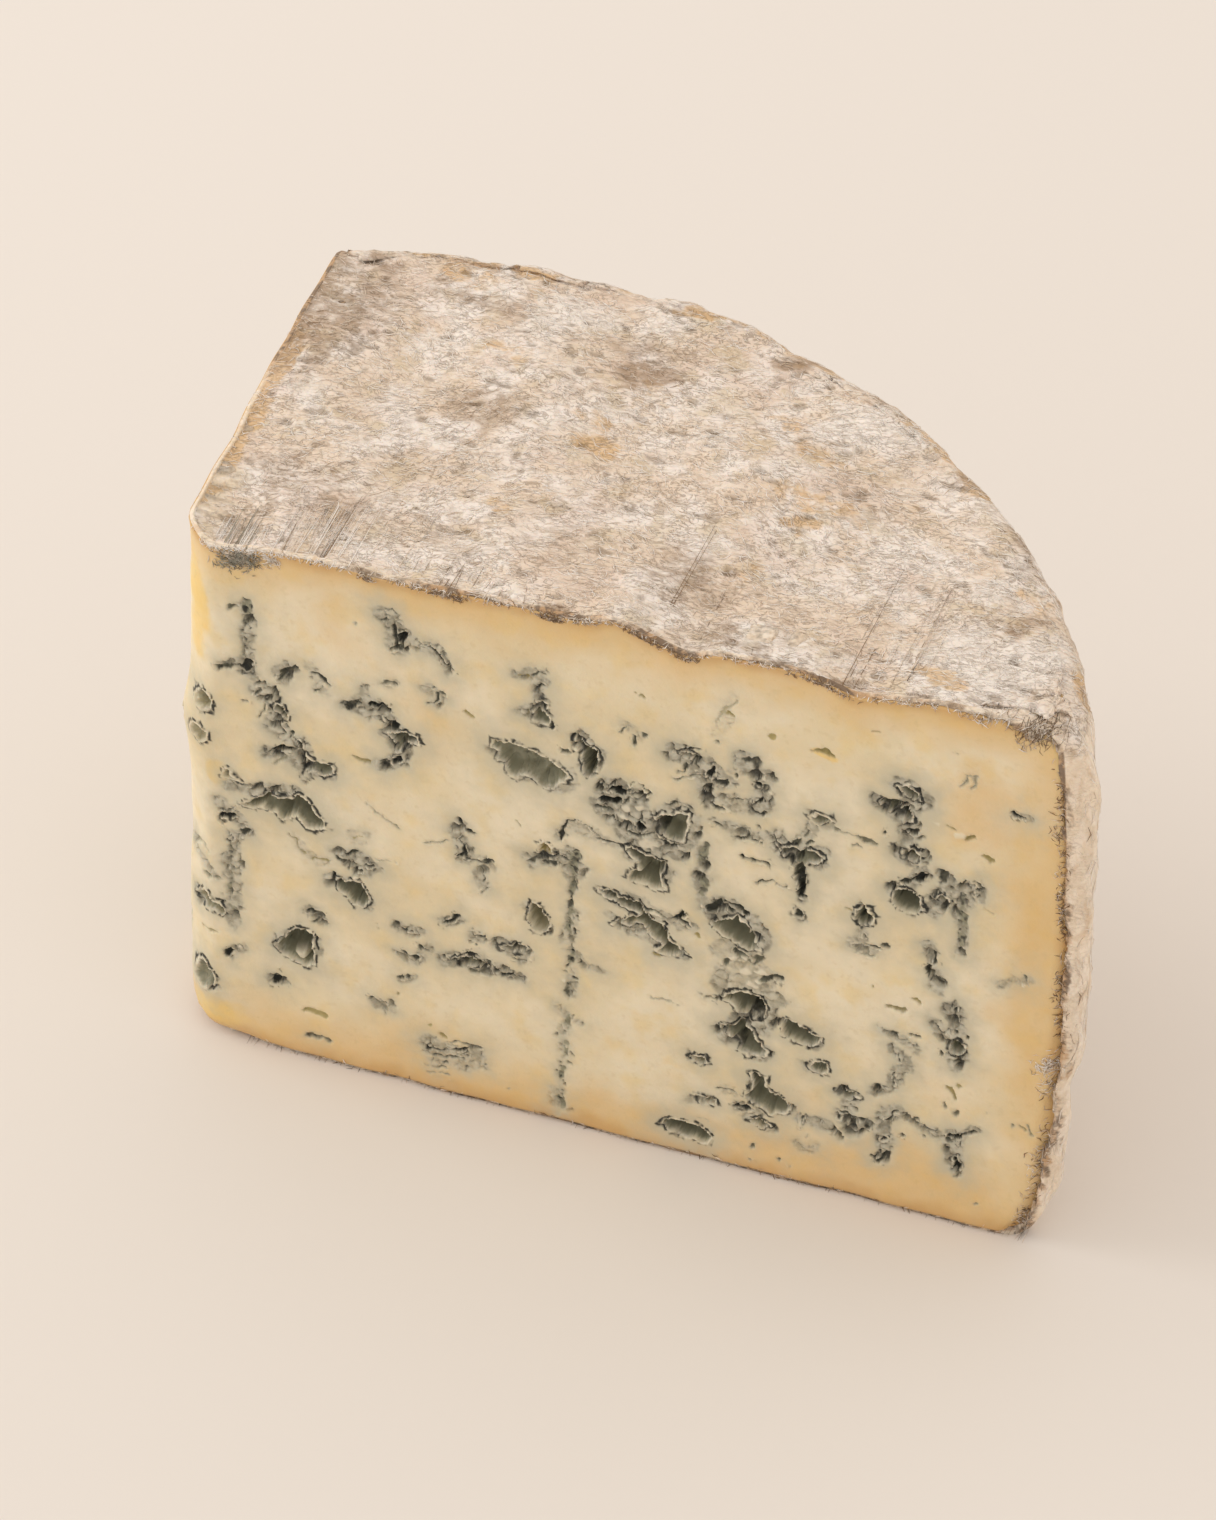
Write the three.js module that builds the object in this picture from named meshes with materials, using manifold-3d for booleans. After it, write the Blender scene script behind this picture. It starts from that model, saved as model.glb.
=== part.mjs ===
// A wedge of blue-veined cheese with its natural rind, in millimetres, +Z up.
// The veined front cut lies along X and faces -Y. The second cut faces -X and meets it at
// a blunt nose. The rind closes the wedge on the right and at the back, above and below.
// The plan is worked out from the nose: "along" runs on the front cut, "back" into the cheese.

import * as THREE from 'three';
import { mergeVertices } from 'three/addons/utils/BufferGeometryUtils.js';
import Module from 'manifold-3d';

// Driving dimensions of the wheel that the wedge comes from.
const wheelRadius = 101.9;
const fullestHeight = 66;
const barrelCurve = 0.0018;
const wheelAxis = new THREE.Vector2(31.2, -30.9);

// Driving dimensions of the wedge.
const wedgeHeight = 91;
const leftCutAngle = THREE.MathUtils.degToRad(92.3);
const noseSetOut = 0.4;
const noseLean = 3.6;
const noseSwell = 1.2;
const noseSwellHeight = 55;
const noseSwellReach = 7;
const noseBlunting = 5.6;
const noseFullness = 0.42;
const frontRindRounding = 3;
const rearRindRounding = 4;

// Roundings of the upper and lower edges, each as a radius.
const cutEdgeRounding = 0.8;
const rindEdgeRounding = 3.2;
const frontRindCorner = new THREE.Vector2(124, 0);
const cornerEdgeRounding = 8;
const cornerReach = 9;
const footRounding = 1.2;
const noseFoot = new THREE.Vector2(-4, 0);
const noseFootRounding = 3.8;
const noseFootReach = 11;

// Relief: how far the surfaces rise and fall, and how long the waves are.
const topRelief = 0.7;
const topWaveSize = 13;
const rindRelief = 0.55;
const cutRelief = 0.15;
const sideWaveSize = 4.5;

// A vein's hollow starts this far outside the cut and narrows to this share at its floor.
const veinOverrun = 1;
const veinFloorShare = 0.55;

// How finely the surface is divided.
const frontSteps = 28;
const cornerSteps = 4;
const rimSteps = 38;
const leftSteps = 14;
const noseSteps = 5;
const sideRows = 17;
const edgeRows = 3;
const topRings = 9;
const footRings = 2;
const heartOfPlan = new THREE.Vector2(52, 28);

// Rises and dips along the top of the front cut: where along it, how wide, how high.
const topEdgeSwells = [
  [4, 6, -1.5],
  [61, 3.4, 1.7],
  [71, 3, -1.0],
  [94, 3.5, -1.0],
  [106, 6, 1.0],
];
const topEdgeReach = 12;

// The larger openings of the veins in the front cut. Each is a depth and then a chain of
// rounded spots: along, up, half-width.
const veinOpenings = [
  [4.0, [8.3, 44.8, 0.6], [11, 46.2, 1.1], [14, 46, 1.3], [16.2, 46.5, 2.0], [18.6, 44.8, 1.0]],
  [3.0, [11.8, 55.6, 0.8], [14.2, 56, 1.0], [16, 56.2, 0.8]],
  [3.0, [17.8, 54.1, 0.9], [20.4, 54.4, 0.7]],
  [4.0, [29, 63, 0.8], [31, 62.7, 1.3], [33, 63, 0.9]],
  [3.0, [26.4, 67.6, 0.7], [28.2, 66.8, 0.9], [28.7, 65, 0.7]],
  [3.0, [12.2, 62.4, 1.0], [13.8, 63.2, 0.9]],
  [1.8, [9.2, 72.3, 0.8], [9.2, 79.6, 0.8]],
  [2.5, [30.6, 79, 0.8], [31.6, 81.5, 0.8]],
  [2.5, [50.6, 75.3, 0.9], [50.4, 72.6, 1.5]],
  [3.5, [44.8, 65.6, 0.9], [48, 64.8, 2.2], [51, 64, 2.3], [53.2, 63.4, 1.3]],
  [5.0, [56.3, 70, 0.9], [57.6, 68.4, 1.5], [57, 66, 1.0]],
  [3.0, [58.6, 61.2, 0.7], [61, 61.6, 0.8]],
  [2.5, [62.5, 60.2, 0.7], [64.2, 58, 1.0]],
  [4.0, [67.6, 59, 1.3], [70, 60.4, 1.6], [70.2, 57.8, 0.9]],
  [4.5, [64, 51.8, 1.4], [66.3, 51.3, 1.8], [66, 49.4, 1.3]],
  [4.5, [60, 44.5, 0.6], [63, 43.2, 1.2], [66, 41.6, 1.9], [67.6, 39.6, 1.5], [69.8, 37, 0.7]],
  [4.5, [74.9, 43.8, 0.7], [77.4, 45, 1.1], [79.4, 42.6, 1.3]],
  [6.0, [76.8, 31, 1.0], [79, 31.6, 1.6], [81, 31.6, 1.5]],
  [4.5, [76.6, 25, 0.9], [79, 25, 1.4], [81, 23, 0.9]],
  [4.5, [85.4, 28.3, 0.8], [87.2, 28, 1.4], [89, 27.6, 1.0]],
  [2.5, [88.4, 22.5, 0.6], [90, 22.9, 0.6]],
  [3.0, [85, 59.6, 0.8], [88.4, 59.2, 1.4]],
  [2.5, [86.9, 57, 0.9], [86.5, 50.6, 0.6]],
  [3.0, [74.7, 70.6, 0.9], [74.1, 65.4, 0.7]],
  [3.0, [69.4, 72.1, 0.6], [71.7, 72.6, 0.7]],
  [4.0, [81.4, 70.2, 1.0], [81, 67, 1.0]],
  [2.0, [88.3, 67.1, 0.8], [90.9, 67.6, 0.8]],
  [4.0, [101.6, 75.2, 1.0], [101.4, 71, 0.8]],
  [3.5, [98.4, 72, 0.8], [100.4, 72.4, 0.7]],
  [6.0, [101.5, 64.3, 1.2], [103, 64.6, 1.1]],
  [4.5, [101, 57, 1.2], [102.5, 55.8, 1.1]],
  [2.5, [105.8, 57.8, 0.8], [107.4, 58.8, 0.7]],
  [2.0, [109.6, 59, 0.7], [109.2, 55.6, 0.8], [109, 50.4, 0.7]],
  [2.5, [115.8, 76, 0.5], [117.3, 76, 0.5]],
  [3.0, [95.2, 52.4, 0.7], [96.6, 52, 0.6]],
  [3.5, [108.8, 33, 1.0], [108.9, 29.6, 0.8]],
  [3.0, [99.9, 24.6, 0.7], [99.6, 22.3, 0.9], [98, 21.8, 0.6]],
  [3.0, [92.5, 18.9, 0.6], [94.4, 19, 0.7]],
  [3.0, [99.4, 16.6, 0.7], [99, 12.2, 0.7]],
  [2.5, [108.8, 16, 0.8], [109.2, 10.4, 0.8]],
  [4.0, [21, 34.5, 0.6], [23.4, 34.4, 1.4], [24.8, 32.4, 0.9]],
  [5.5, [12.2, 20.3, 0.9], [14.4, 21, 1.6], [15.9, 21.6, 1.6], [16.1, 19, 1.0]],
  [3.0, [10.9, 12.9, 0.7], [12.1, 13.8, 0.7]],
  [4.0, [49.4, 38.8, 0.9], [50, 37, 1.4]],
  [2.5, [39.3, 49.6, 0.7], [39.2, 45, 0.7]],
  [3.5, [44.6, 29.9, 0.6], [47, 30.4, 0.7]],
  [3.0, [37.5, 25.4, 0.6], [41.6, 25.9, 0.7]],
  [1.5, [54.6, 49, 0.8], [54.4, 41, 0.7], [54.3, 33, 0.6]],
  [2.5, [34, 7.7, 0.6], [38.3, 8.8, 0.6]],
  [4.0, [68.2, 4.8, 0.9], [73, 4.7, 1.0]],
  [4.5, [80.6, 14.3, 0.9], [82, 14.8, 1.2], [84.3, 13.9, 0.8]],
];

const wasm = await Module();
wasm.setup();

// A slow, even waviness between -1 and 1, for surfaces that a knife or a cloth has left.
function waves(x, y, z, size) {
  const a = Math.sin((x * 1.7 + y * 0.6 - z * 0.4) / size + 0.7);
  const b = Math.sin((y * 1.9 - x * 0.5 + z * 0.8) / size + 2.1);
  const c = Math.sin((z * 1.6 + x * 0.9 + y * 0.7) / size + 4.2);
  return (a * b + b * c + c * a) / 1.6;
}

function swell(position, centre, width) {
  const distance = (position - centre) / width;
  return Math.exp(-distance * distance);
}

function rimRadius(height) {
  return wheelRadius - barrelCurve * (height - fullestHeight) ** 2;
}

// The nose leans out towards the foot and swells a little halfway up.
function noseShift(height) {
  const lean = noseLean * (1 - height / wedgeHeight);
  const swollen = noseSwell * swell(height, noseSwellHeight, noseSwellReach);
  return -noseSetOut - lean - swollen;
}

// Where a line in plan leaves a circle about the wheel's axis.
function leaveCircle(start, direction, radius) {
  const toStart = start.clone().sub(wheelAxis);
  const along = toStart.dot(direction);
  const reach = Math.sqrt(along * along - toStart.lengthSq() + radius * radius) - along;
  return start.clone().addScaledVector(direction, reach);
}

function onArc(centre, radius, from, to, share) {
  const angle = from + (to - from) * share;
  return new THREE.Vector2(Math.cos(angle), Math.sin(angle)).multiplyScalar(radius).add(centre);
}

// The plan outline at one height: a counter-clockwise loop of a fixed number of points.
function planOutline(height) {
  const radius = rimRadius(height);
  const leftFoot = new THREE.Vector2(noseShift(height), 0);
  const leftWay = new THREE.Vector2(Math.cos(leftCutAngle), Math.sin(leftCutAngle));
  const leftInward = new THREE.Vector2(leftWay.y, -leftWay.x);
  const frontWay = new THREE.Vector2(1, 0);

  const frontStart = new THREE.Vector2(0, frontRindRounding);
  const frontCentre = leaveCircle(frontStart, frontWay, radius - frontRindRounding);
  const rearStart = leftFoot.clone().addScaledVector(leftInward, rearRindRounding);
  const rearCentre = leaveCircle(rearStart, leftWay, radius - rearRindRounding);
  const rimStart = frontCentre.clone().sub(wheelAxis).angle();
  const rimEnd = rearCentre.clone().sub(wheelAxis).angle();

  const noseFront = new THREE.Vector2(leftFoot.x + noseBlunting, 0);
  const noseLeft = leftFoot.clone().addScaledVector(leftWay, noseBlunting);
  const leftEnd = rearCentre.clone().addScaledVector(leftInward, -rearRindRounding);
  const nose = new THREE.CubicBezierCurve(
    noseLeft,
    noseLeft.clone().lerp(leftFoot, noseFullness),
    noseFront.clone().lerp(leftFoot, noseFullness),
    noseFront,
  );

  const points = [];
  for (let i = 0; i < frontSteps; i += 1) {
    const end = new THREE.Vector2(frontCentre.x, 0);
    points.push(noseFront.clone().lerp(end, i / frontSteps));
  }
  for (let i = 0; i < cornerSteps; i += 1) {
    points.push(onArc(frontCentre, frontRindRounding, -Math.PI / 2, rimStart, i / cornerSteps));
  }
  for (let i = 0; i < rimSteps; i += 1) {
    points.push(onArc(wheelAxis, radius, rimStart, rimEnd, i / rimSteps));
  }
  for (let i = 0; i < cornerSteps; i += 1) {
    const leftOutward = leftCutAngle + Math.PI / 2;
    points.push(onArc(rearCentre, rearRindRounding, rimEnd, leftOutward, i / cornerSteps));
  }
  for (let i = 0; i < leftSteps; i += 1) {
    points.push(leftEnd.clone().lerp(noseLeft, i / leftSteps));
  }
  for (let i = 0; i < noseSteps; i += 1) {
    points.push(nose.getPoint(i / noseSteps));
  }
  return points;
}

const outlineCount = frontSteps + rimSteps + leftSteps + noseSteps + 2 * cornerSteps;

function isRind(index) {
  const first = frontSteps + 1;
  return index >= first && index < first + rimSteps + 2 * cornerSteps - 2;
}

function topHeight(along, back) {
  let rise = topRelief * waves(along, back, 0, topWaveSize);
  for (const [centre, width, height] of topEdgeSwells) {
    rise += height * swell(along, centre, width) * swell(back, 0, topEdgeReach);
  }
  return wedgeHeight + rise;
}

function topRounding(index, point) {
  const plain = isRind(index) ? rindEdgeRounding : cutEdgeRounding;
  const corner = swell(point.distanceTo(frontRindCorner), 0, cornerReach);
  return plain + (cornerEdgeRounding - plain) * corner;
}

function bottomRounding(point) {
  const nose = swell(point.distanceTo(noseFoot), 0, noseFootReach);
  return footRounding + (noseFootRounding - footRounding) * nose;
}

// Moves a plan point straight towards the heart of the plan.
function inset(point, distance) {
  const inward = heartOfPlan.clone().sub(point);
  return point.clone().addScaledVector(inward.normalize(), distance);
}

function weathered(index, point, height) {
  const depth = isRind(index) ? rindRelief : cutRelief;
  return inset(point, depth * (1 + waves(point.x, point.y, height, sideWaveSize)));
}

// Rows of vertices, from the middle of the foot up the sides to the middle of the top.
function wedgeRows() {
  const rows = [];
  const footOutline = planOutline(0);
  const crownOutline = planOutline(wedgeHeight);
  const ring = (place) => rows.push(Array.from({ length: outlineCount }, (_, i) => place(i)));

  for (let r = 1; r <= footRings; r += 1) {
    ring((i) => {
      const edge = inset(footOutline[i], bottomRounding(footOutline[i]) + rindRelief);
      const point = heartOfPlan.clone().lerp(edge, r / footRings);
      return [point.x, point.y, 0];
    });
  }
  for (let r = 1; r < edgeRows; r += 1) {
    const angle = (Math.PI / 2) * (r / edgeRows);
    ring((i) => {
      const rounding = bottomRounding(footOutline[i]);
      const height = rounding * (1 - Math.cos(angle));
      const point = weathered(i, planOutline(height)[i], height);
      const place = inset(point, rounding * (1 - Math.sin(angle)));
      return [place.x, place.y, height];
    });
  }
  for (let r = 0; r <= sideRows; r += 1) {
    ring((i) => {
      const crown = crownOutline[i];
      const low = bottomRounding(footOutline[i]);
      const high = topHeight(crown.x, crown.y) - topRounding(i, crown);
      const height = low + (high - low) * (r / sideRows);
      const point = weathered(i, planOutline(height)[i], height);
      return [point.x, point.y, height];
    });
  }
  for (let r = 1; r <= edgeRows; r += 1) {
    const angle = (Math.PI / 2) * (r / edgeRows);
    ring((i) => {
      const crown = crownOutline[i];
      const rounding = topRounding(i, crown);
      const height = topHeight(crown.x, crown.y) - rounding * (1 - Math.sin(angle));
      const point = weathered(i, planOutline(height)[i], height);
      const place = inset(point, rounding * (1 - Math.cos(angle)));
      return [place.x, place.y, height];
    });
  }
  const brink = rows[rows.length - 1];
  for (let r = 1; r < topRings; r += 1) {
    ring((i) => {
      const [x, y] = brink[i];
      const point = new THREE.Vector2(x, y).lerp(heartOfPlan, r / topRings);
      return [point.x, point.y, topHeight(point.x, point.y)];
    });
  }
  return rows;
}

// The closed surface through the rows, with a fan at the foot and another at the top.
function wedgeGeometry() {
  const rows = wedgeRows();
  const positions = rows.flat(2);
  const index = [];
  const last = rows.length - 1;
  const footHeart = rows.length * outlineCount;
  const crownHeart = footHeart + 1;
  positions.push(heartOfPlan.x, heartOfPlan.y, 0);
  positions.push(heartOfPlan.x, heartOfPlan.y, topHeight(heartOfPlan.x, heartOfPlan.y));

  for (let i = 0; i < outlineCount; i += 1) {
    const next = (i + 1) % outlineCount;
    index.push(footHeart, next, i);
    index.push(crownHeart, last * outlineCount + i, last * outlineCount + next);
    for (let r = 0; r < last; r += 1) {
      const a = r * outlineCount + i;
      const b = r * outlineCount + next;
      index.push(a, b, b + outlineCount);
      index.push(a, b + outlineCount, a + outlineCount);
    }
  }
  const geometry = new THREE.BufferGeometry();
  geometry.setAttribute('position', new THREE.Float32BufferAttribute(positions, 3));
  geometry.setIndex(index);
  return geometry;
}

// One hexagonal, tapering hollow between two spots of a vein, open at the front cut.
function veinGeometry(from, to, depth) {
  const heading = Math.atan2(to[1] - from[1], to[0] - from[0]);
  const layers = [[-veinOverrun, 1.05], [depth, veinFloorShare]];
  const positions = [];
  for (const [back, share] of layers) {
    for (const [spot, turns] of [[from, [2, 3, 4]], [to, [5, 6, 7]]]) {
      for (const turn of turns) {
        const angle = heading + (turn * Math.PI) / 3;
        const reach = spot[2] * share;
        positions.push(spot[0] + reach * Math.cos(angle));
        positions.push(back);
        positions.push(spot[1] + reach * Math.sin(angle));
      }
    }
  }
  const corners = 6;
  const index = [];
  for (let i = 0; i < corners; i += 1) {
    const next = (i + 1) % corners;
    index.push(i, i + corners, next + corners);
    index.push(i, next + corners, next);
  }
  for (let i = 1; i < corners - 1; i += 1) {
    index.push(0, i, i + 1);
    index.push(corners, corners + i + 1, corners + i);
  }
  const geometry = new THREE.BufferGeometry();
  geometry.setAttribute('position', new THREE.Float32BufferAttribute(positions, 3));
  geometry.setIndex(index);
  return geometry;
}

function toSolid(geometry) {
  const merged = mergeVertices(geometry);
  return new wasm.Manifold(new wasm.Mesh({
    numProp: 3,
    vertProperties: new Float32Array(merged.attributes.position.array),
    triVerts: new Uint32Array(merged.index.array),
  }));
}

function toGeometry(solid) {
  const mesh = solid.getMesh();
  const geometry = new THREE.BufferGeometry();
  geometry.setAttribute('position', new THREE.BufferAttribute(mesh.vertProperties, 3));
  geometry.setIndex(new THREE.BufferAttribute(mesh.triVerts, 1));
  return geometry;
}

function veinedWedge() {
  let veins = null;
  for (const [depth, ...spots] of veinOpenings) {
    for (let i = 1; i < spots.length; i += 1) {
      const hollow = toSolid(veinGeometry(spots[i - 1], spots[i], depth));
      veins = veins ? veins.add(hollow) : hollow;
    }
  }
  return toGeometry(toSolid(wedgeGeometry()).subtract(veins));
}

const paste = new THREE.MeshStandardMaterial({ color: 0xdcc8a0, roughness: 0.75, metalness: 0 });
const wedge = new THREE.Mesh(veinedWedge(), paste);
wedge.name = 'cheese_wedge';

// The origin is the middle of the foot's bounding box.
wedge.geometry.computeBoundingBox();
const middle = wedge.geometry.boundingBox.getCenter(new THREE.Vector3());
wedge.position.set(-middle.x, -middle.y, -wedge.geometry.boundingBox.min.z);

const part = new THREE.Group();
part.add(wedge);

export default part;
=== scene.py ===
import math
import random

import bmesh
import bpy
import numpy as np
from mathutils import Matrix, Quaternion, Vector
from mathutils.bvhtree import BVHTree


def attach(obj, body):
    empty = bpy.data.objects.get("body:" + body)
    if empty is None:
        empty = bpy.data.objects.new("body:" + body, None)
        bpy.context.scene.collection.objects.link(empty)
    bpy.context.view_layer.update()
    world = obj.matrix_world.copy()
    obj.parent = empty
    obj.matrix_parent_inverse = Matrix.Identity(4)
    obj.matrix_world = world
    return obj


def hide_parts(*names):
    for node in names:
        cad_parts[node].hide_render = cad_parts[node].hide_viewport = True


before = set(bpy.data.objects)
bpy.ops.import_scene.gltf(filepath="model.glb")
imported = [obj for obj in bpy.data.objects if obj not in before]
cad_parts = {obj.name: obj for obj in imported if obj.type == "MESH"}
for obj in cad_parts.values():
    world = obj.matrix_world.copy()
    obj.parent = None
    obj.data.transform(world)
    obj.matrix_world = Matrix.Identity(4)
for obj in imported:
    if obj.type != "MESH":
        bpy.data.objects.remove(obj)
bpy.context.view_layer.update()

print("the packed wedge is loaded")

# Everything about the cheese is worked out in millimetres from its nose: along the front cut,
# back into the cheese, and up. The part's own frame has its origin under the middle of the foot.
wheel = {
    "heights": (-2, 0, 3, 6, 10, 20, 30, 40, 50, 60, 66, 70, 80, 88, 96),
    "radii": (
        93.5, 94.6, 96.4, 97.5, 98.7, 99.7, 100.5, 101.3, 101.7, 101.9, 101.9, 101.9, 101.6, 101.2, 100.8,
    ),
    "axis": (31.2, -30.9),
}
wedge = {
    "height": 91,
    "leftCutAngle": math.radians(92.3),
    "noseSetOut": 0.4,
    "noseLean": 3.6,
    "noseSwell": 1.2,
    "noseSwellHeight": 55,
    "noseSwellReach": 7,
    "noseBlunting": 5.6,
    "noseFullness": 0.42,
    "frontCorner": 3,
    "rearCorner": 4,
    "topRelief": 0.7,
    "topWaveSize": 13,
    "rindRelief": 0.55,
    "cutRelief": 0.15,
    "sideWaveSize": 4.5,
    "middle": (60.470, 35.3575, 0),
}
edges = {
    "cut": 0.8,
    "cutUnderRind": 0.25,
    "rind": 3.2,
    "corner": 8,
    "cornerPlace": (124, 0),
    "cornerReach": 9,
    "cornerEase": 0.09,
    "leastEase": 0.01,
    "easeHeights": (70, 88),
    "foot": 0.9,
    "noseFoot": 3.8,
    "noseFootPlace": (-4, 0),
    "noseFootReach": 11,
}
# Rises and dips along the top of the front cut: where along it, how wide, how high.
topEdgeSwells = [(4, 6, -1.5), (61, 3.4, 1.7), (71, 3, -1.0), (94, 3.5, -1.0), (106, 6, 1.0)]
topEdgeReach = 12
# Into how many steps the outline in plan is cut, and the heights that it is worked out for.
outlineSteps = {"corner": 12, "rim": 90, "nose": 20, "run": 400}
outlineLevels = {"lowest": -2, "highest": 96, "count": 50}
# The shares of a side's height that its rounded edges take up, and how near to the edges of the
# top and foot the rounder corners keep.
profile = {"footShare": 0.03, "topShare": 0.05, "cornerPower": 14}

latticeSize = 4096
lattice = np.random.default_rng(5).random(latticeSize) * 2 - 1


def smoothStep(low, high, value):
    share = np.clip((value - low) / (high - low), 0, 1)
    return share * share * (3 - 2 * share)


def swell(position, centre, width):
    return np.exp(-((position - centre) / width) ** 2)


# Mixes three whole numbers into a place in the lattice.
def latticePlace(first, second, third):
    mixed = first * 73856093 ^ second * 19349663 ^ third * 83492791
    return (mixed ^ mixed >> 13) % latticeSize


# Smooth lattice noise between -1 and 1. The size is that of its lumps, in millimetres.
def lumps(points, size, seed=0):
    scaled = points / size + seed * 17.31 + 400
    base = np.floor(scaled).astype(np.int64)
    part = scaled - base
    part = part * part * (3 - 2 * part)
    total = np.zeros(len(points))
    for corner in range(8):
        offset = np.array([corner & 1, corner >> 1 & 1, corner >> 2 & 1])
        cell = base + offset
        weight = np.prod(np.where(offset, part, 1 - part), axis=1)
        total += lattice[latticePlace(*cell.T)] * weight
    return total


def fractal(points, size, octaves, seed=0):
    total = np.zeros(len(points))
    for octave in range(octaves):
        total += lumps(points, size / 2 ** octave, seed + octave) / 2 ** octave
    return total


# Two numbers for each point, to shift it by so that an even line comes out ragged.
def drift(points, size, octaves, seeds):
    return np.column_stack([fractal(points, size, octaves, seed) for seed in seeds])


# Lumps in a plane that meet in crevices: how far a point is from the crevice round its lump, as a
# share of the size, and a number from 0 to 1 that belongs to the lump.
def crumble(points, size, seed=0):
    scaled = points / size + seed * 7.77 + 200
    base = np.floor(scaled).astype(np.int64)
    nearest = np.full(len(points), 9.0)
    second = np.full(len(points), 9.0)
    owner = np.zeros(len(points))
    for i in range(9):
        cell = base + [i // 3 - 1, i % 3 - 1]
        place = latticePlace(*cell.T, seed)
        aside = np.column_stack([lattice[place], lattice[(place + 77) % latticeSize]])
        gap = np.hypot(*(scaled - (cell + 0.5 + 0.42 * aside)).T)
        closer = gap < nearest
        second = np.where(closer, nearest, np.minimum(second, gap))
        owner = np.where(closer, 0.5 + 0.5 * lattice[(place + 211) % latticeSize], owner)
        nearest = np.where(closer, gap, nearest)
    return second - nearest, owner


def waves(along, back, up, size):
    a = np.sin((along * 1.7 + back * 0.6 - up * 0.4) / size + 0.7)
    b = np.sin((back * 1.9 - along * 0.5 + up * 0.8) / size + 2.1)
    c = np.sin((up * 1.6 + along * 0.9 + back * 0.7) / size + 4.2)
    return (a * b + b * c + c * a) / 1.6


# Where a line in plan leaves a circle about the wheel's axis.
def leaveCircle(start, direction, radius):
    toStart = start - np.array(wheel["axis"])
    along = toStart @ direction
    return start + direction * (math.sqrt(along ** 2 - toStart @ toStart + radius ** 2) - along)


# How far points lie from the wheel's axis, in plan.
def fromAxis(points):
    return np.hypot(*(points[:, :2] - np.array(wheel["axis"])).T)


def arcPoints(centre, radius, first, last, count):
    angles = np.linspace(first, last, count)
    return centre + radius * np.column_stack([np.cos(angles), np.sin(angles)])


def evenly(points, count):
    steps = np.hypot(*np.diff(points, axis=0).T)
    reach = np.concatenate([[0], np.cumsum(steps)])
    wanted = np.linspace(0, reach[-1], count)
    return np.column_stack([np.interp(wanted, reach, points[:, i]) for i in (0, 1)])


# The plan outline at one height, in four runs of equal steps: the front cut from the middle of
# the nose, two halves of the rind, and the left cut back to the nose.
def outlineRuns(height, count):
    radius = float(np.interp(height, wheel["heights"], wheel["radii"]))
    lean = wedge["noseLean"] * (1 - height / wedge["height"])
    swollen = wedge["noseSwell"] * swell(height, wedge["noseSwellHeight"], wedge["noseSwellReach"])
    leftFoot = np.array([-wedge["noseSetOut"] - lean - swollen, 0])
    angle = wedge["leftCutAngle"]
    leftWay = np.array([math.cos(angle), math.sin(angle)])
    leftInward = np.array([leftWay[1], -leftWay[0]])
    front = wedge["frontCorner"]
    rear = wedge["rearCorner"]
    frontCentre = leaveCircle(np.array([0, front]), np.array([1, 0]), radius - front)
    rearCentre = leaveCircle(leftFoot + leftInward * rear, leftWay, radius - rear)
    axis = np.array(wheel["axis"])
    rimStart = math.atan2(*(frontCentre - axis)[::-1])
    rimEnd = math.atan2(*(rearCentre - axis)[::-1])
    rimMiddle = (rimStart + rimEnd) / 2
    noseFront = np.array([leftFoot[0] + wedge["noseBlunting"], 0])
    noseLeft = leftFoot + leftWay * wedge["noseBlunting"]
    controls = [
        noseLeft,
        noseLeft + (leftFoot - noseLeft) * wedge["noseFullness"],
        noseFront + (leftFoot - noseFront) * wedge["noseFullness"],
        noseFront,
    ]
    noseSteps, cornerSteps, rimSteps = (outlineSteps[name] for name in ("nose", "corner", "rim"))
    share = np.linspace(0, 1, 2 * noseSteps + 1)[:, None]
    weights = [(1 - share) ** 3, 3 * share * (1 - share) ** 2, 3 * share ** 2 * (1 - share), share ** 3]
    nose = sum(weight * control for weight, control in zip(weights, controls))
    frontTurn = (rimStart - math.pi / 2) / 2
    rearTurn = (rimEnd + angle + math.pi / 2) / 2
    runs = [
        [nose[noseSteps:], arcPoints(frontCentre, front, -math.pi / 2, frontTurn, cornerSteps)],
        [
            arcPoints(frontCentre, front, frontTurn, rimStart, cornerSteps),
            arcPoints(axis, radius, rimStart, rimMiddle, rimSteps),
        ],
        [
            arcPoints(axis, radius, rimMiddle, rimEnd, rimSteps),
            arcPoints(rearCentre, rear, rimEnd, rearTurn, cornerSteps),
        ],
        [arcPoints(rearCentre, rear, rearTurn, angle + math.pi / 2, cornerSteps), nose[:noseSteps + 1]],
    ]
    return np.concatenate([evenly(np.concatenate(run), count + 1)[:-1] for run in runs])


runSteps = outlineSteps["run"]
tableHeights = np.linspace(outlineLevels["lowest"], outlineLevels["highest"], outlineLevels["count"])
outlineTable = np.array([outlineRuns(height, runSteps) for height in tableHeights])


# A point of the outline: turn runs from 0 at the nose by way of the front, rind and left cut to 4.
def outlineAt(turn, height):
    place = np.mod(turn, 4) * runSteps
    first = np.floor(place).astype(int)
    share = (place - first)[:, None]
    first %= 4 * runSteps
    after = (first + 1) % (4 * runSteps)
    level = (height - tableHeights[0]) / (tableHeights[1] - tableHeights[0])
    level = np.clip(level, 0, len(tableHeights) - 1.001)
    below = np.floor(level).astype(int)
    rise = (level - below)[:, None]
    low = outlineTable[below, first] * (1 - share) + outlineTable[below, after] * share
    high = outlineTable[below + 1, first] * (1 - share) + outlineTable[below + 1, after] * share
    return low * (1 - rise) + high * rise


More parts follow.
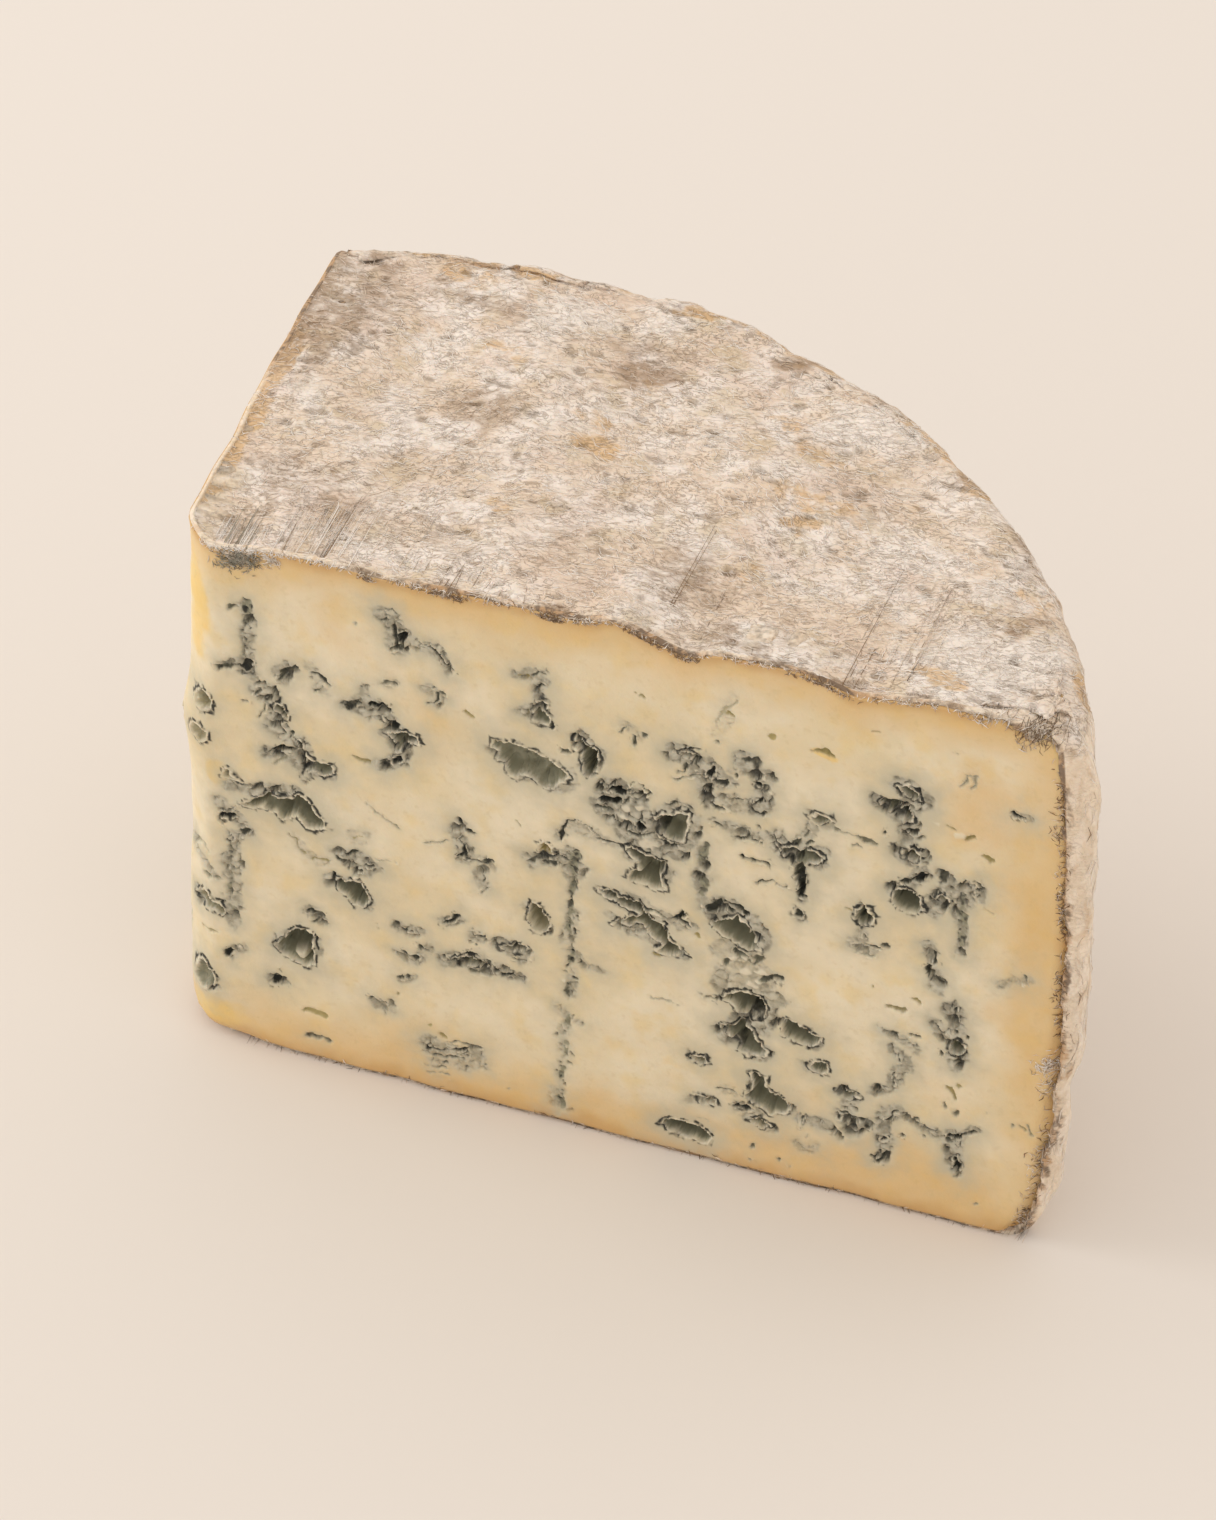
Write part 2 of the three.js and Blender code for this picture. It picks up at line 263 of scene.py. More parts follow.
# The way inward, even over this reach of turn, so that a deep inset doesn't fold over at a corner.
def inwardAt(turn, height, reach):
    way = outlineAt(turn + reach, height) - outlineAt(turn - reach, height)
    way /= np.hypot(*way.T)[:, None]
    return np.column_stack([-way[:, 1], way[:, 0]])


def topHeight(along, back):
    rise = wedge["topRelief"] * waves(along, back, 0, wedge["topWaveSize"])
    for centre, width, height in topEdgeSwells:
        rise = rise + height * swell(along, centre, width) * swell(back, 0, topEdgeReach)
    return wedge["height"] + rise


def isRind(turn):
    return smoothStep(0.985, 1.0, turn) * (1 - smoothStep(3.0, 3.03, turn))


def noDrop(along, back):
    return along * 0


# A point on the wedge's side for a turn and a share of the height, whose upper and lower ends
# follow the rounded edges. recess gives how far in a piece lies, for each turn and height, drop how
# far under the top, and lift how far above the foot.
def sidePoints(turn, share, recess, drop, lift, cornered=1):
    rind = isRind(turn)
    crown = outlineAt(turn, np.full(len(turn), wedge["height"]))
    foot = outlineAt(turn, np.zeros(len(turn)))
    atCorner = swell(np.hypot(*(crown - edges["cornerPlace"]).T), 0, edges["cornerReach"])
    cutRadius = edges["cut"] if drop is noDrop else edges["cutUnderRind"]
    topRadius = cutRadius + (edges["rind"] - cutRadius) * rind
    topRadius = topRadius + (edges["corner"] - topRadius) * atCorner * cornered
    atNose = swell(np.hypot(*(foot - edges["noseFootPlace"]).T), 0, edges["noseFootReach"])
    footRadius = edges["foot"] + (edges["noseFoot"] - edges["foot"]) * atNose * cornered
    top = topHeight(*crown.T) - drop(*crown.T)
    footAngle = np.clip(share / profile["footShare"], 0, 1) * math.pi / 2
    topAngle = np.clip((share - 1 + profile["topShare"]) / profile["topShare"], 0, 1) * math.pi / 2
    body = 1 - profile["footShare"] - profile["topShare"]
    rise = np.clip((share - profile["footShare"]) / body, 0, 1)
    low = lift + footRadius * (1 - np.cos(footAngle))
    height = low + (top - topRadius - lift - footRadius) * rise + topRadius * np.sin(topAngle)
    inset = footRadius * (1 - np.sin(footAngle)) + topRadius * (1 - np.cos(topAngle))
    place = outlineAt(turn, height)
    relief = wedge["cutRelief"] + (wedge["rindRelief"] - wedge["cutRelief"]) * rind
    inset = inset + relief * (1 + waves(place[:, 0], place[:, 1], height, wedge["sideWaveSize"]))
    inset = inset + recess(turn, height, top)
    upHigh = smoothStep(*edges["easeHeights"], height)
    reach = edges["leastEase"] + edges["cornerEase"] * atCorner * upHigh
    place = place + inwardAt(turn, height, reach) * inset[:, None]
    return np.column_stack([place, height])


# Fills between four edges. A higher power keeps an edge's effect closer to it.
def spanned(a, b, power, edge):
    left, right, front, back = (1 - a) ** power, a ** power, (1 - b) ** power, b ** power
    total = edge(a) * front + edge(3 - a) * back + edge(4 - b) * left + edge(1 + b) * right
    for i, weight in enumerate((left * front, right * front, right * back, left * back)):
        total = total - edge(float(i)) * weight
    return total


# Lays points of a unit cube's surface onto the wedge. The cube's four sides become the front cut,
# two halves of the rind and the left cut, and its lid and floor become patches between them, which
# get a turn of -1 and -2.
def layOut(unit, recess, drop=noDrop, lift=0):
    x, y, z = unit.T
    turn = np.where(y <= 0, x, np.where(x >= 1, 1 + y, np.where(y >= 1, 3 - x, 4 - y)))
    onSide = (x <= 0) | (x >= 1) | (y <= 0) | (y >= 1)
    points = sidePoints(turn, z, recess, drop, lift)
    for end in (1, 0):
        picked = ~onSide & (z == end)
        if not picked.any():
            continue
        a, b = x[picked, None], y[picked, None]
        ends = np.full(len(a), float(end))

        def rim(place, cornered):
            place = np.broadcast_to(place, a.shape)[:, 0].astype(float)
            return sidePoints(place, ends, recess, drop, lift, cornered)[:, :2]

        # The patch between plain edges first, then what the rounder corners add, close to the edges.
        patch = spanned(a, b, 1, lambda place: rim(place, 0))
        power = profile["cornerPower"]
        patch = patch + spanned(a, b, power, lambda place: rim(place, 1) - rim(place, 0))
        level = topHeight(*patch.T) - drop(*patch.T) if end else np.full(len(a), float(lift))
        points[picked] = np.column_stack([patch, level])
        turn[picked] = -1 if end else -2
    return points, turn


# A unit cube cut into cells, then cut finer wherever a rule asks for it.
def cutCube(cells, rules, lay):
    shape = bmesh.new()
    bmesh.ops.create_cube(shape, size=1)
    bmesh.ops.translate(shape, vec=(0.5, 0.5, 0.5), verts=shape.verts)
    for axis, count in enumerate(cells):
        along = [
            edge for edge in shape.edges
            if abs(edge.verts[0].co[axis] - edge.verts[1].co[axis]) > 0.5
        ]
        bmesh.ops.subdivide_edges(shape, edges=along, cuts=count - 1, use_grid_fill=True)
    for rule in rules:
        faces = list(shape.faces)
        centres = np.array([face.calc_center_median() for face in faces])
        chosen = rule(*lay(snapped(centres)))
        cut = {edge for face, wanted in zip(faces, chosen) if wanted for edge in face.edges}
        bmesh.ops.subdivide_edges(shape, edges=list(cut), cuts=1, use_grid_fill=True)
    bmesh.ops.triangulate(shape, faces=[face for face in shape.faces if len(face.verts) > 4])
    return shape


# Puts rounding errors on the cube's faces right, so that a point on a side counts as on it.
def snapped(unit):
    return np.where(unit < 1e-6, 0, np.where(unit > 1 - 1e-6, 1, unit)).astype(float)


def readVectors(mesh, name="co"):
    flat = np.empty(len(mesh.vertices) * 3)
    mesh.vertices.foreach_get(name, flat)
    return flat.reshape(-1, 3)


def readCorners(mesh):
    corners = np.empty(len(mesh.loop_triangles) * 3, np.int32)
    mesh.loop_triangles.foreach_get("vertices", corners)
    return corners.reshape(-1, 3)


def readAttribute(mesh, name):
    values = np.empty(len(mesh.vertices), np.float32)
    mesh.attributes[name].data.foreach_get("value", values)
    return values


def writePoints(mesh, points):
    mesh.vertices.foreach_set("co", points.ravel())
    mesh.update()


# From millimetres about the nose to the part's own metres, and back.
def toPart(points):
    return (points - wedge["middle"]) / 1000


def fromPart(points):
    return points * 1000 + wedge["middle"]


# A cut cube, made a mesh and laid onto the wedge: the mesh, its points and their turns.
def laidMesh(name, cells, rules, lay):
    shape = cutCube(cells, rules, lay)
    mesh = bpy.data.meshes.new(name)
    shape.to_mesh(mesh)
    shape.free()
    points, turn = lay(snapped(readVectors(mesh)))
    writePoints(mesh, points)
    return mesh, points, turn


# Gives a mesh its attributes and material, and makes it a piece of the wedge.
def addPiece(name, mesh, material, attributes):
    for title, values in attributes.items():
        layer = mesh.attributes.new(title, "FLOAT", "POINT")
        layer.data.foreach_set("value", values.astype(np.float32))
    mesh.materials.append(material)
    for polygon in mesh.polygons:
        polygon.use_smooth = True
    mesh.calc_loop_triangles()
    print(name, "made:", len(mesh.loop_triangles), "triangles")
    piece = bpy.data.objects.new(name, mesh)
    bpy.context.scene.collection.objects.link(piece)
    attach(piece, "root")
    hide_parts("cheese_wedge")
    return piece


# How much of these patches lies at each place: across, up, half-width, half-height, amount. A patch
# starts at the outer share of its size and is full at the inner one.
def patchwork(places, patches, outer, inner):
    total = np.zeros(len(places))
    for across, up, width, height, amount in patches:
        gap = np.hypot((places[:, 0] - across) / width, (places[:, 1] - up) / height)
        total = np.maximum(total, amount * smoothStep(outer, inner, gap))
    return total


# Openings of the veins in the front cut, wide enough to see into. Each has a depth, how dark it
# is (its mould, with painted shade in its upper part), how olive it is, and its outline: along the cut
# and up.
frontPockets = [
    (4.0, 1.0, 0.0, [(7.2, 44.2), (8.5, 45.3), (10, 46.4), (11, 47.2), (12, 46.9), (13.5, 46.9),
        (14.5, 47.6), (15.7, 48.3), (17, 47.8), (18, 46.6), (18.4, 45.5), (19.6, 43.8), (17.7, 43),
        (16.4, 43.3), (15.4, 44.6), (14.5, 44.4), (13, 43.1), (12.2, 44.2), (10.5, 44.6), (8.2, 44)]),
    (3.0, 0.9, 0.0, [(16.6, 55.8), (18.5, 55.2), (21, 54.8), (20.8, 54), (19.5, 52.8), (18, 53.3),
        (16.5, 51.7), (17.5, 53.8)]),
    (3.0, 1.0, 0.0, [(12.3, 63.1), (13, 63.9), (14, 63.8), (14.5, 62.8), (14, 61.5), (13.2, 61.9),
        (12.6, 62.5)]),
    (1.5, 0.6, 0.2, [(4.6, 48.3), (5.3, 50.1), (5.6, 49.1), (7.1, 48.4)]),
    (3.5, 0.9, 0.0, [(19.6, 34.2), (20.5, 34.7), (22, 35.1), (23.4, 35.6), (24.2, 34.9), (24.9, 33.8),
        (25.5, 32.2), (24.6, 31.2), (22.8, 31.3), (21.8, 32.6), (20.6, 33.4)]),
    (2.0, 0.85, 0.45, [(0.5, 59.6), (0.4, 61.5), (1.4, 62.6), (2.8, 62.5), (3.5, 61), (3.1, 59.6),
        (1.8, 59.2)]),
    (1.4, 0.75, 0.4, [(-0.5, 53.8), (0, 56), (1.4, 56.6), (2.5, 55.5), (2.2, 54), (1, 53.4)]),
    (2.2, 0.9, 0.4, [(-1, 24.2), (-0.2, 25.8), (1.2, 26.3), (3, 25), (4.2, 23.8), (3.4, 23.1),
        (1.8, 23.4), (0.2, 23.5)]),
    (1.8, 0.8, 0.1, [(-2, 8.5), (-1.6, 11.5), (-0.2, 13.2), (1.4, 12.2), (2, 10.2), (1.2, 8.6),
        (-0.5, 7.9)]),
    (4.0, 1.0, 0.0, [(28.6, 63.3), (30, 63.9), (33.2, 64), (33.4, 63), (31.5, 62.4), (30.8, 61.5),
        (30.2, 60.2), (29.7, 61.4), (29.6, 62.4)]),
    (3.2, 0.5, 0.15, [(43.6, 66.7), (45, 66.7), (46.5, 67), (48.5, 66.8), (50.5, 66.2), (52.3, 65.3),
        (53.7, 64.5), (54.4, 63.5), (54.2, 62.5), (52.8, 62.6), (52.3, 61), (50.7, 60.6), (49.8, 61.8),
        (48.2, 62), (46.8, 61.2), (45.8, 61.8), (45.3, 63), (44.3, 63.8), (44.6, 65.2), (43.6, 65.4)]),
    (5.0, 1.0, 0.0, [(55.6, 70.6), (56.2, 70.6), (57.3, 69.7), (58.6, 69), (59, 68), (58.3, 66.8),
        (57.9, 65.5), (57.4, 64.7), (56.4, 64.8), (56.5, 66.5), (56.2, 68), (55.3, 69.2)]),
    (4.0, 0.9, 0.0, [(66.5, 60.2), (68, 61.2), (69.5, 62), (71.2, 62.2), (71, 60.5), (70.6, 59),
        (70.3, 57), (69, 56.8), (67, 57.8), (66.8, 59)]),
    (4.5, 0.9, 0.0, [(62.5, 53.5), (64, 53.6), (65, 53.1), (67.3, 52.7), (67.6, 52.2), (67.2, 51),
        (67, 50), (67.3, 49), (68, 47.8), (66.8, 47.6), (65.5, 48.2), (64, 47.9), (62.6, 48),
        (63.2, 49.3), (64.5, 50.1), (64.2, 51.2), (63.4, 52.3)]),
    (2.0, 0.6, 0.9, [(50, 48.6), (50.2, 50.4), (50.9, 51), (51.6, 50.4), (51.9, 49), (51, 48.5)]),
    (2.5, 0.6, 0.0, [(49.3, 71.8), (49.8, 73.5), (51.2, 73.9), (52, 73), (52, 71.7), (50.6, 71.4)]),
    (1.6, 0.4, 0.3, [(50.2, 74.2), (50.1, 75.6), (50.7, 76), (51.4, 75.4), (51.3, 74.2)]),
    (4.0, 0.8, 0.4, [(48.8, 39.5), (50, 39.2), (50.8, 38), (51.2, 36.5), (51, 35), (50, 34.4), (49, 34.5),
        (48.5, 36), (48.5, 38)]),
    (4.5, 0.85, 0.0, [(58.3, 45.2), (60, 44.7), (61.5, 44.2), (64, 44.2), (65.2, 42.8), (66.2, 42),
        (67.6, 41.7), (67.5, 40.8), (68.3, 39.2), (69.8, 37.8), (70.8, 36.8), (68, 36.4), (66.6, 36.5),
        (67.8, 37.8), (66.5, 39), (64, 40.3), (62, 39.7), (60, 39.2), (62, 40.6), (64.5, 42), (62, 43),
        (59.2, 43.8)]),
    (4.5, 0.9, 0.0, [(74.3, 43.6), (75, 44.6), (76, 45), (78, 46.2), (78.8, 45.6), (79.6, 44.8),
        (80.3, 43), (81.3, 41.2), (79.8, 40.9), (78, 41), (76.5, 41.8), (75.6, 42.9)]),
    (6.0, 1.0, 0.0, [(75.8, 31), (77, 31.8), (78, 32.7), (80, 33), (81.3, 32.8), (81.9, 31.5),
        (82.1, 30.2), (81.8, 28.8), (80.3, 28.4), (78.6, 28.9), (77.5, 30.2)]),
    (4.5, 0.9, 0.0, [(75.7, 26), (77, 26.3), (78.5, 26.7), (80, 26.2), (80.7, 25), (81.3, 24),
        (82.3, 22.3), (80, 21.7), (78.3, 22), (78, 23.3), (77, 24), (76, 25)]),
    (4.5, 0.9, 0.0, [(84.3, 29), (85.3, 29.8), (86.3, 29.6), (87.5, 29), (89, 28.3), (89.9, 27.8),
        (89.6, 26.6), (88.3, 26.1), (86, 26.3), (84.6, 26.8)]),
    (2.5, 0.9, 0.0, [(88, 22.2), (89.2, 23.5), (90.4, 23.6), (91, 22.6), (90, 21.6), (88.8, 21.6)]),
    (3.0, 0.95, 0.0, [(83.8, 60.2), (85, 60.9), (87, 60.8), (88.8, 61.2), (90, 60.2), (89.2, 59.2),
        (87.6, 58.6), (86.2, 58.1), (85.6, 59.2), (84.5, 59.3)]),
    (3.0, 1.0, 0.0, [(69.8, 72.3), (70.5, 72.9), (71.8, 73), (72.2, 72.3), (71.2, 71.9)]),
    (2.0, 0.7, 0.0, [(88, 67), (88.8, 67.9), (90.4, 68), (91.3, 67.2), (90.4, 66.4), (88.9, 66.3)]),
    (4.0, 1.0, 0.0, [(100.2, 76), (101.5, 76.6), (102.8, 75.5), (103, 74.3), (102, 74.1), (100.9, 74.6)]),
    (3.5, 1.0, 0.0, [(97.8, 72.2), (98.6, 73), (100.2, 72.9), (100.4, 71.8), (99.2, 71.1), (98.1, 71.3)]),
    (4.0, 1.0, 0.0, [(100.7, 72.2), (101.8, 72.4), (102.1, 70.8), (101.2, 70), (100.6, 71)]),
    (6.0, 1.0, 0.0, [(101, 65), (102, 65.5), (103.4, 65.2), (103.5, 64.1), (102.2, 63.7), (101, 63.9)]),
    (4.5, 0.9, 0.0, [(99.5, 56.5), (100.3, 57.8), (101.7, 58.3), (103.2, 57.4), (103.8, 55.6),
        (102.6, 54.4), (101, 54.6), (99.9, 55.4)]),
    (2.5, 1.0, 0.0, [(105.6, 57.6), (106.3, 58.9), (107.3, 58.7), (107, 57.7)]),
    (3.0, 0.9, 0.0, [(94.3, 51), (94.9, 52.8), (96.2, 53.4), (97, 52.4), (96.8, 50.9), (95.5, 50.1)]),
    (5.5, 1.0, 0.0, [(11.2, 20), (12.5, 21), (13, 22.5), (14.3, 23.7), (15.8, 24), (16.7, 23),
        (16.8, 21.5), (16.6, 19.5), (17, 18), (15.5, 17.5), (13.5, 18), (12, 19)]),
    (3.0, 1.0, 0.0, [(92.2, 19), (93, 19.6), (94.6, 19.7), (95.4, 18.9), (94.4, 18.3), (92.9, 18.3)]),
    (4.0, 0.9, 0.0, [(66.9, 4.6), (67.5, 5.4), (69, 5.9), (71.5, 5.8), (73.5, 5.2), (74.3, 4.4),
        (73.5, 3.2), (71, 3.2), (68.5, 3.8)]),
    (4.5, 0.95, 0.0, [(80, 18.4), (82, 18.3), (81.9, 16.6), (82.8, 15.8), (84.5, 15.2), (85.4, 13.6),
        (84.9, 12.6), (83.1, 11.9), (81, 12.8), (79.1, 13.7), (79.8, 14.9), (80.2, 16.5)]),
    (2.5, 0.8, 0.0, [(71.3, 18.6), (72.2, 19.3), (73.6, 19.2), (73.9, 18.3), (72.6, 17.8)]),
    (2.2, 0.7, 0.2, [(71.5, 11.2), (72.8, 11.9), (74.5, 11.7), (74.8, 10.9), (73.2, 10.5)]),
    (2.2, 0.8, 0.0, [(79.5, 9.6), (80.8, 10.3), (82.6, 10.1), (83, 9.3), (81.4, 9)]),
    (3.5, 0.95, 0.0, [(44, 29.8), (45.5, 30.7), (47.2, 31.2), (47.9, 30.7), (47, 30), (45.6, 29.7)]),
    (3.0, 0.9, 0.0, [(37.2, 25), (38.4, 25.9), (39.5, 26.3), (41.8, 26.1), (42.1, 25.3), (40.5, 24.9),
        (38.8, 24.7)]),
    (3.5, 1.0, 0.0, [(108.3, 31.2), (108.2, 33), (109.1, 33.6), (109.7, 32.4), (109.5, 31)]),
]

# Finer veins, cracks and spots in the front cut: half-width, depth, how dark and how olive they
# are, and the courses of all that are so. One point makes a spot.
frontThreadStyles = {
    (0.1, 0.25, 0.4, 0.1): [[(25.5, 50.3), (27.5, 48.2), (30, 46.7)], [(26.5, 40.3), (29.3, 40.7)]],
    (0.1, 0.25, 0.5, 0.0): [[(33.5, 45.7), (35.8, 46.2), (38, 47.3)]],
    (0.16, 0.4, 0.7, 0.0): [[(8.5, 47.8), (11, 48.2), (13.5, 47.4), (15, 49.8)]],
    (0.16, 0.4, 0.8, 0.0): [
        [(69.2, 67.9), (70.2, 67.9), (71.5, 68.9), (73.5, 69.8)], [(76, 66.4), (78, 66.5), (80, 67.4)],
    ],
    (0.16, 0.5, 0.7, 0.1): [[(98.7, 32), (100.4, 31.4), (102, 31.7)]],
    (0.18, 0.3, 0.4, 0.3): [[(108.5, 78.4), (109.4, 80.6), (110.7, 80.8), (110.2, 79)]],
    (0.18, 0.5, 0.8, 0.0): [
        [(68, 62.7), (69.6, 63.4), (71.5, 63.3)], [(70.8, 71), (71, 69.5), (70, 69)],
        [(72, 72), (72.3, 70.3)], [(82, 72.5), (81.5, 71.5), (80.3, 70.9)],
    ],
    (0.2, 0.2, 0.2, 0.5): [[(75.2, 79.5), (76.6, 81.8), (78, 84)]],
    (0.2, 0.3, 0.3, 0.4): [[(66, 27.8), (70, 27.8)]],
    (0.2, 0.4, 0.6, 0.0): [[(18.6, 67.5), (19.5, 68.6)]],
    (0.2, 0.4, 0.6, 0.1): [[(28.5, 72), (29.4, 72.3), (30.3, 72)]],
    (0.2, 0.4, 0.7, 0.1): [[(61.5, 73.9), (62.5, 74.8), (63.7, 75.2)]],
    (0.2, 0.5, 0.7, 0.0): [[(10.4, 60.6), (11, 61.8), (11.3, 63.3)]],
    (0.2, 0.5, 0.7, 0.1): [
        [(28.2, 83), (29.6, 83.9), (30.8, 83.7), (31.2, 83)], [(49.8, 79.6), (50.6, 80.2), (51.5, 80.3)],
        [(102.7, 32.9), (104, 33)],
    ],
    (0.2, 0.5, 0.7, 0.2): [[(102.3, 17), (103.5, 17.7), (104.5, 16.5), (106, 16.3), (107.3, 15.6)]],
    (0.2, 0.5, 0.8, 0.0): [
        [(17.9, 70.6), (19, 70.7), (20, 69.9), (20.7, 69.3)], [(39.5, 44.6), (41.2, 44.3), (43.2, 45)],
        [(41.3, 43.3), (42, 42), (42.2, 41)], [(77, 61.8), (78, 62), (79, 61.4)],
        [(83, 62.4), (83.8, 61), (84.5, 58.6)],
        [(108.8, 61.4), (109.6, 62.6), (111, 62.8), (111.8, 61.8), (110.8, 61)],
    ],
    (0.2, 0.5, 0.9, 0.0): [[(57.9, 53.8), (59, 53.7), (62, 53.5)]],
    (0.2, 0.6, 0.9, 0.0): [
        [(53.2, 52), (53.4, 54), (54, 55.5), (55.5, 56), (57, 55.2), (58.3, 54.3)],
        [(62.3, 56.6), (64, 56.4), (66.5, 57), (68, 55.8)],
        [(64, 44), (66, 43.3), (68.5, 43), (70, 43.2), (71.3, 42.2)],
        [(68.2, 55.4), (69.6, 55.9), (71, 56)], [(69, 72.4), (70.2, 73.4), (71.5, 73.6), (73, 73.8)],
    ],
    (0.22, 0.5, 0.2, 0.9): [
        [(40.4, 70.6), (41, 70.2)], [(66.2, 35.8), (66.9, 35.6)], [(77, 81.2), (77.8, 81)],
    ],
    (0.22, 0.5, 0.4, 0.7): [[(14, 40.8), (15, 40), (15.3, 38.7), (16.3, 38)]],
    (0.22, 0.5, 0.6, 0.1): [[(29, 84.8), (30, 85.1), (31, 84.8)]],
    (0.22, 0.5, 0.6, 0.2): [[(6.3, 78), (6.7, 79), (7.8, 79.2)]],
    (0.22, 0.5, 0.7, 0.0): [[(10, 64.4), (10.6, 65.9), (12, 66.3), (12.3, 65), (11.2, 64.2)]],
    (0.22, 0.5, 0.7, 0.1): [[(75, 14), (76.3, 14.4), (77.6, 14)]],
    (0.22, 0.5, 0.8, 0.0): [[(36.3, 72.3), (36, 71.2), (34.6, 70.6)]],
    (0.22, 0.6, 0.8, 0.0): [[(80.6, 53), (82.5, 53.8), (84.8, 53.3)]],
    (0.22, 0.6, 0.9, 0.0): [
        [(38.5, 51.3), (39.2, 50), (39.6, 49.2), (40.6, 49.3)], [(94, 46), (96, 47.3), (97.7, 46.8)],
    ],
    (0.22, 0.7, 0.9, 0.0): [[(29.3, 28.8), (30.5, 28.4), (31.8, 28.6)]],
    (0.24, 0.5, 0.2, 0.9): [
        [(47.2, 53.4), (47.6, 52.8)], [(64.6, 80.8), (65.3, 80.5)], [(96.6, 84.2), (97.4, 84.2)],
    ],
    (0.25, 0.4, 0.5, 0.2): [[(75.5, 76)]],
    (0.25, 0.4, 0.6, 0.1): [[(65.3, 74.2)]],
    (0.25, 0.5, 0.6, 0.1): [[(36.8, 72.8)]],
    (0.25, 0.5, 0.6, 0.3): [[(84.3, 3.7)], [(32, 4.5), (34, 4.8), (35.8, 4.5)], [(33.5, 3.4), (36, 3.4)]],
    (0.25, 0.5, 0.7, 0.1): [[(81, 63)], [(95, 13)], [(78.8, 74.2), (80, 74.2)]],
    (0.25, 0.5, 0.8, 0.0): [[(81.2, 60.3)]],
    (0.25, 0.6, 0.7, 0.1): [[(106, 43.9), (107, 42.3)]],
    (0.25, 0.6, 0.7, 0.3): [[(86.5, 7.6), (87.5, 7), (89.3, 7.5)]],
    (0.25, 0.6, 0.8, 0.1): [[(79.5, 65.6), (81.7, 64.9)], [(90, 11.4), (91.5, 11.3), (92, 12)]],
    (0.25, 0.7, 0.8, 0.0): [
        [(62.6, 63.4), (63.4, 65), (65, 65.2), (65.6, 64), (64.6, 62.9), (63.2, 62.9)],
    ],
    (0.25, 0.8, 0.9, 0.0): [[(100.2, 25), (99.8, 24), (100.2, 22.4)]],
    (0.26, 0.5, 0.3, 0.8): [[(93, 52.4), (93.8, 52.2)]],
    (0.26, 0.6, 0.2, 0.9): [[(112.2, 67.4), (112.8, 66.6)]],
    (0.26, 0.6, 0.3, 0.8): [[(103, 39.2), (103.6, 38.8)]],
    (0.28, 0.6, 0.2, 0.9): [[(35.4, 10.9), (36, 10.5)], [(107, 71.6), (107.8, 71)]],
    (0.28, 0.9, 0.9, 0.1): [[(33, 7.9), (34.5, 8), (36.5, 8.5), (38.5, 9.2)]],
    (0.3, 0.4, 0.4, 0.8): [[(109, 25.8)]],
    (0.3, 0.4, 0.5, 0.8): [[(26.5, 28)], [(28.8, 16.5)]],
    (0.3, 0.5, 0.5, 0.5): [[(112.2, 4.6)], [(117, 20.7)], [(118.6, 21.5), (119.4, 20.2)]],
    (0.3, 0.5, 0.5, 0.8): [[(108, 24.8), (108.9, 23.2)]],
    (0.3, 0.5, 0.6, 0.1): [
        [(35.3, 73.6)], [(78, 71.2)], [(5.2, 42.6), (6.3, 43.6)], [(5.6, 37.1), (5.5, 38.2)],
    ],
    (0.3, 0.5, 0.6, 0.2): [[(27, 12.2)], [(39, 6.2)], [(39, 8)], [(41.7, 7.2)], [(104.5, 15.2)]],
    (0.3, 0.5, 0.6, 0.3): [[(80, 2.3)], [(80.5, 5)], [(85.7, 3)]],
    (0.3, 0.5, 0.6, 0.6): [[(48.4, 72.5), (48.8, 73.6)]],
    (0.3, 0.5, 0.7, 0.1): [[(63.8, 72.2), (63.8, 73.8)]],
    (0.3, 0.6, 0.3, 0.7): [[(118, 20.9), (118.6, 20.5)]],
    (0.3, 0.6, 0.6, 0.1): [[(87.8, 62), (88.4, 63)]],
    (0.3, 0.6, 0.6, 0.2): [[(3.8, 40.2), (4.2, 41)], [(34.5, 7), (38.5, 7.4)]],
    (0.3, 0.6, 0.6, 0.3): [[(88.2, 9.5)], [(94, 63.8), (95.5, 63.8)]],
    (0.3, 0.6, 0.6, 0.4): [[(109, 20.6)]],
    (0.3, 0.6, 0.7, 0.0): [[(12.8, 60), (13.5, 59)]],
    (0.3, 0.6, 0.7, 0.1): [
        [(11.7, 14.9)], [(13, 12.9)], [(16.8, 25.7)], [(18.4, 26.3)], [(28.3, 57.8)], [(29, 24.2)],
        [(29.5, 19.4)], [(30.7, 20.1)], [(40, 29.7)], [(40.6, 29.2)], [(48.6, 29.5)], [(73.1, 64.6)],
        [(90, 12.4)], [(94, 17)], [(98.7, 47.4)], [(99.4, 57.7)], [(101.3, 13.8)], [(102.2, 26.3)],
        [(103, 31.2)], [(104, 48.6)], [(4.8, 67.8), (6.5, 68.2), (8, 69)], [(35.3, 5.6), (36, 6.2)],
    ],
    (0.3, 0.6, 0.7, 0.2): [[(108, 15), (109.4, 14.2)]],
    (0.3, 0.6, 0.8, 0.0): [[(74.5, 61.7), (76, 61.6)]],
    (0.3, 0.6, 0.8, 0.1): [[(42.4, 26.5), (43.3, 24.8)], [(74.5, 64.6), (76.2, 64.3)]],
    (0.3, 0.7, 0.3, 0.9): [[(107.6, 84), (108.2, 83.6)]],
    (0.3, 0.7, 0.4, 0.8): [[(112.3, 58.4), (113.4, 58)]],
    (0.3, 0.7, 0.7, 0.1): [[(106.6, 59.4)], [(110.5, 34.6)], [(95.2, 45.2), (96.8, 45.2)]],
    (0.3, 0.7, 0.7, 0.2): [[(36, 10), (38.5, 10.3), (40.9, 10)]],
    (0.3, 0.7, 0.7, 0.3): [[(48.5, 46.7), (50, 47.7)]],
    (0.3, 0.7, 0.8, 0.0): [[(111.3, 60)], [(39.5, 27), (41.3, 27)], [(93, 15.3), (94.7, 15.1), (96, 15)]],
    (0.3, 0.7, 0.8, 0.1): [
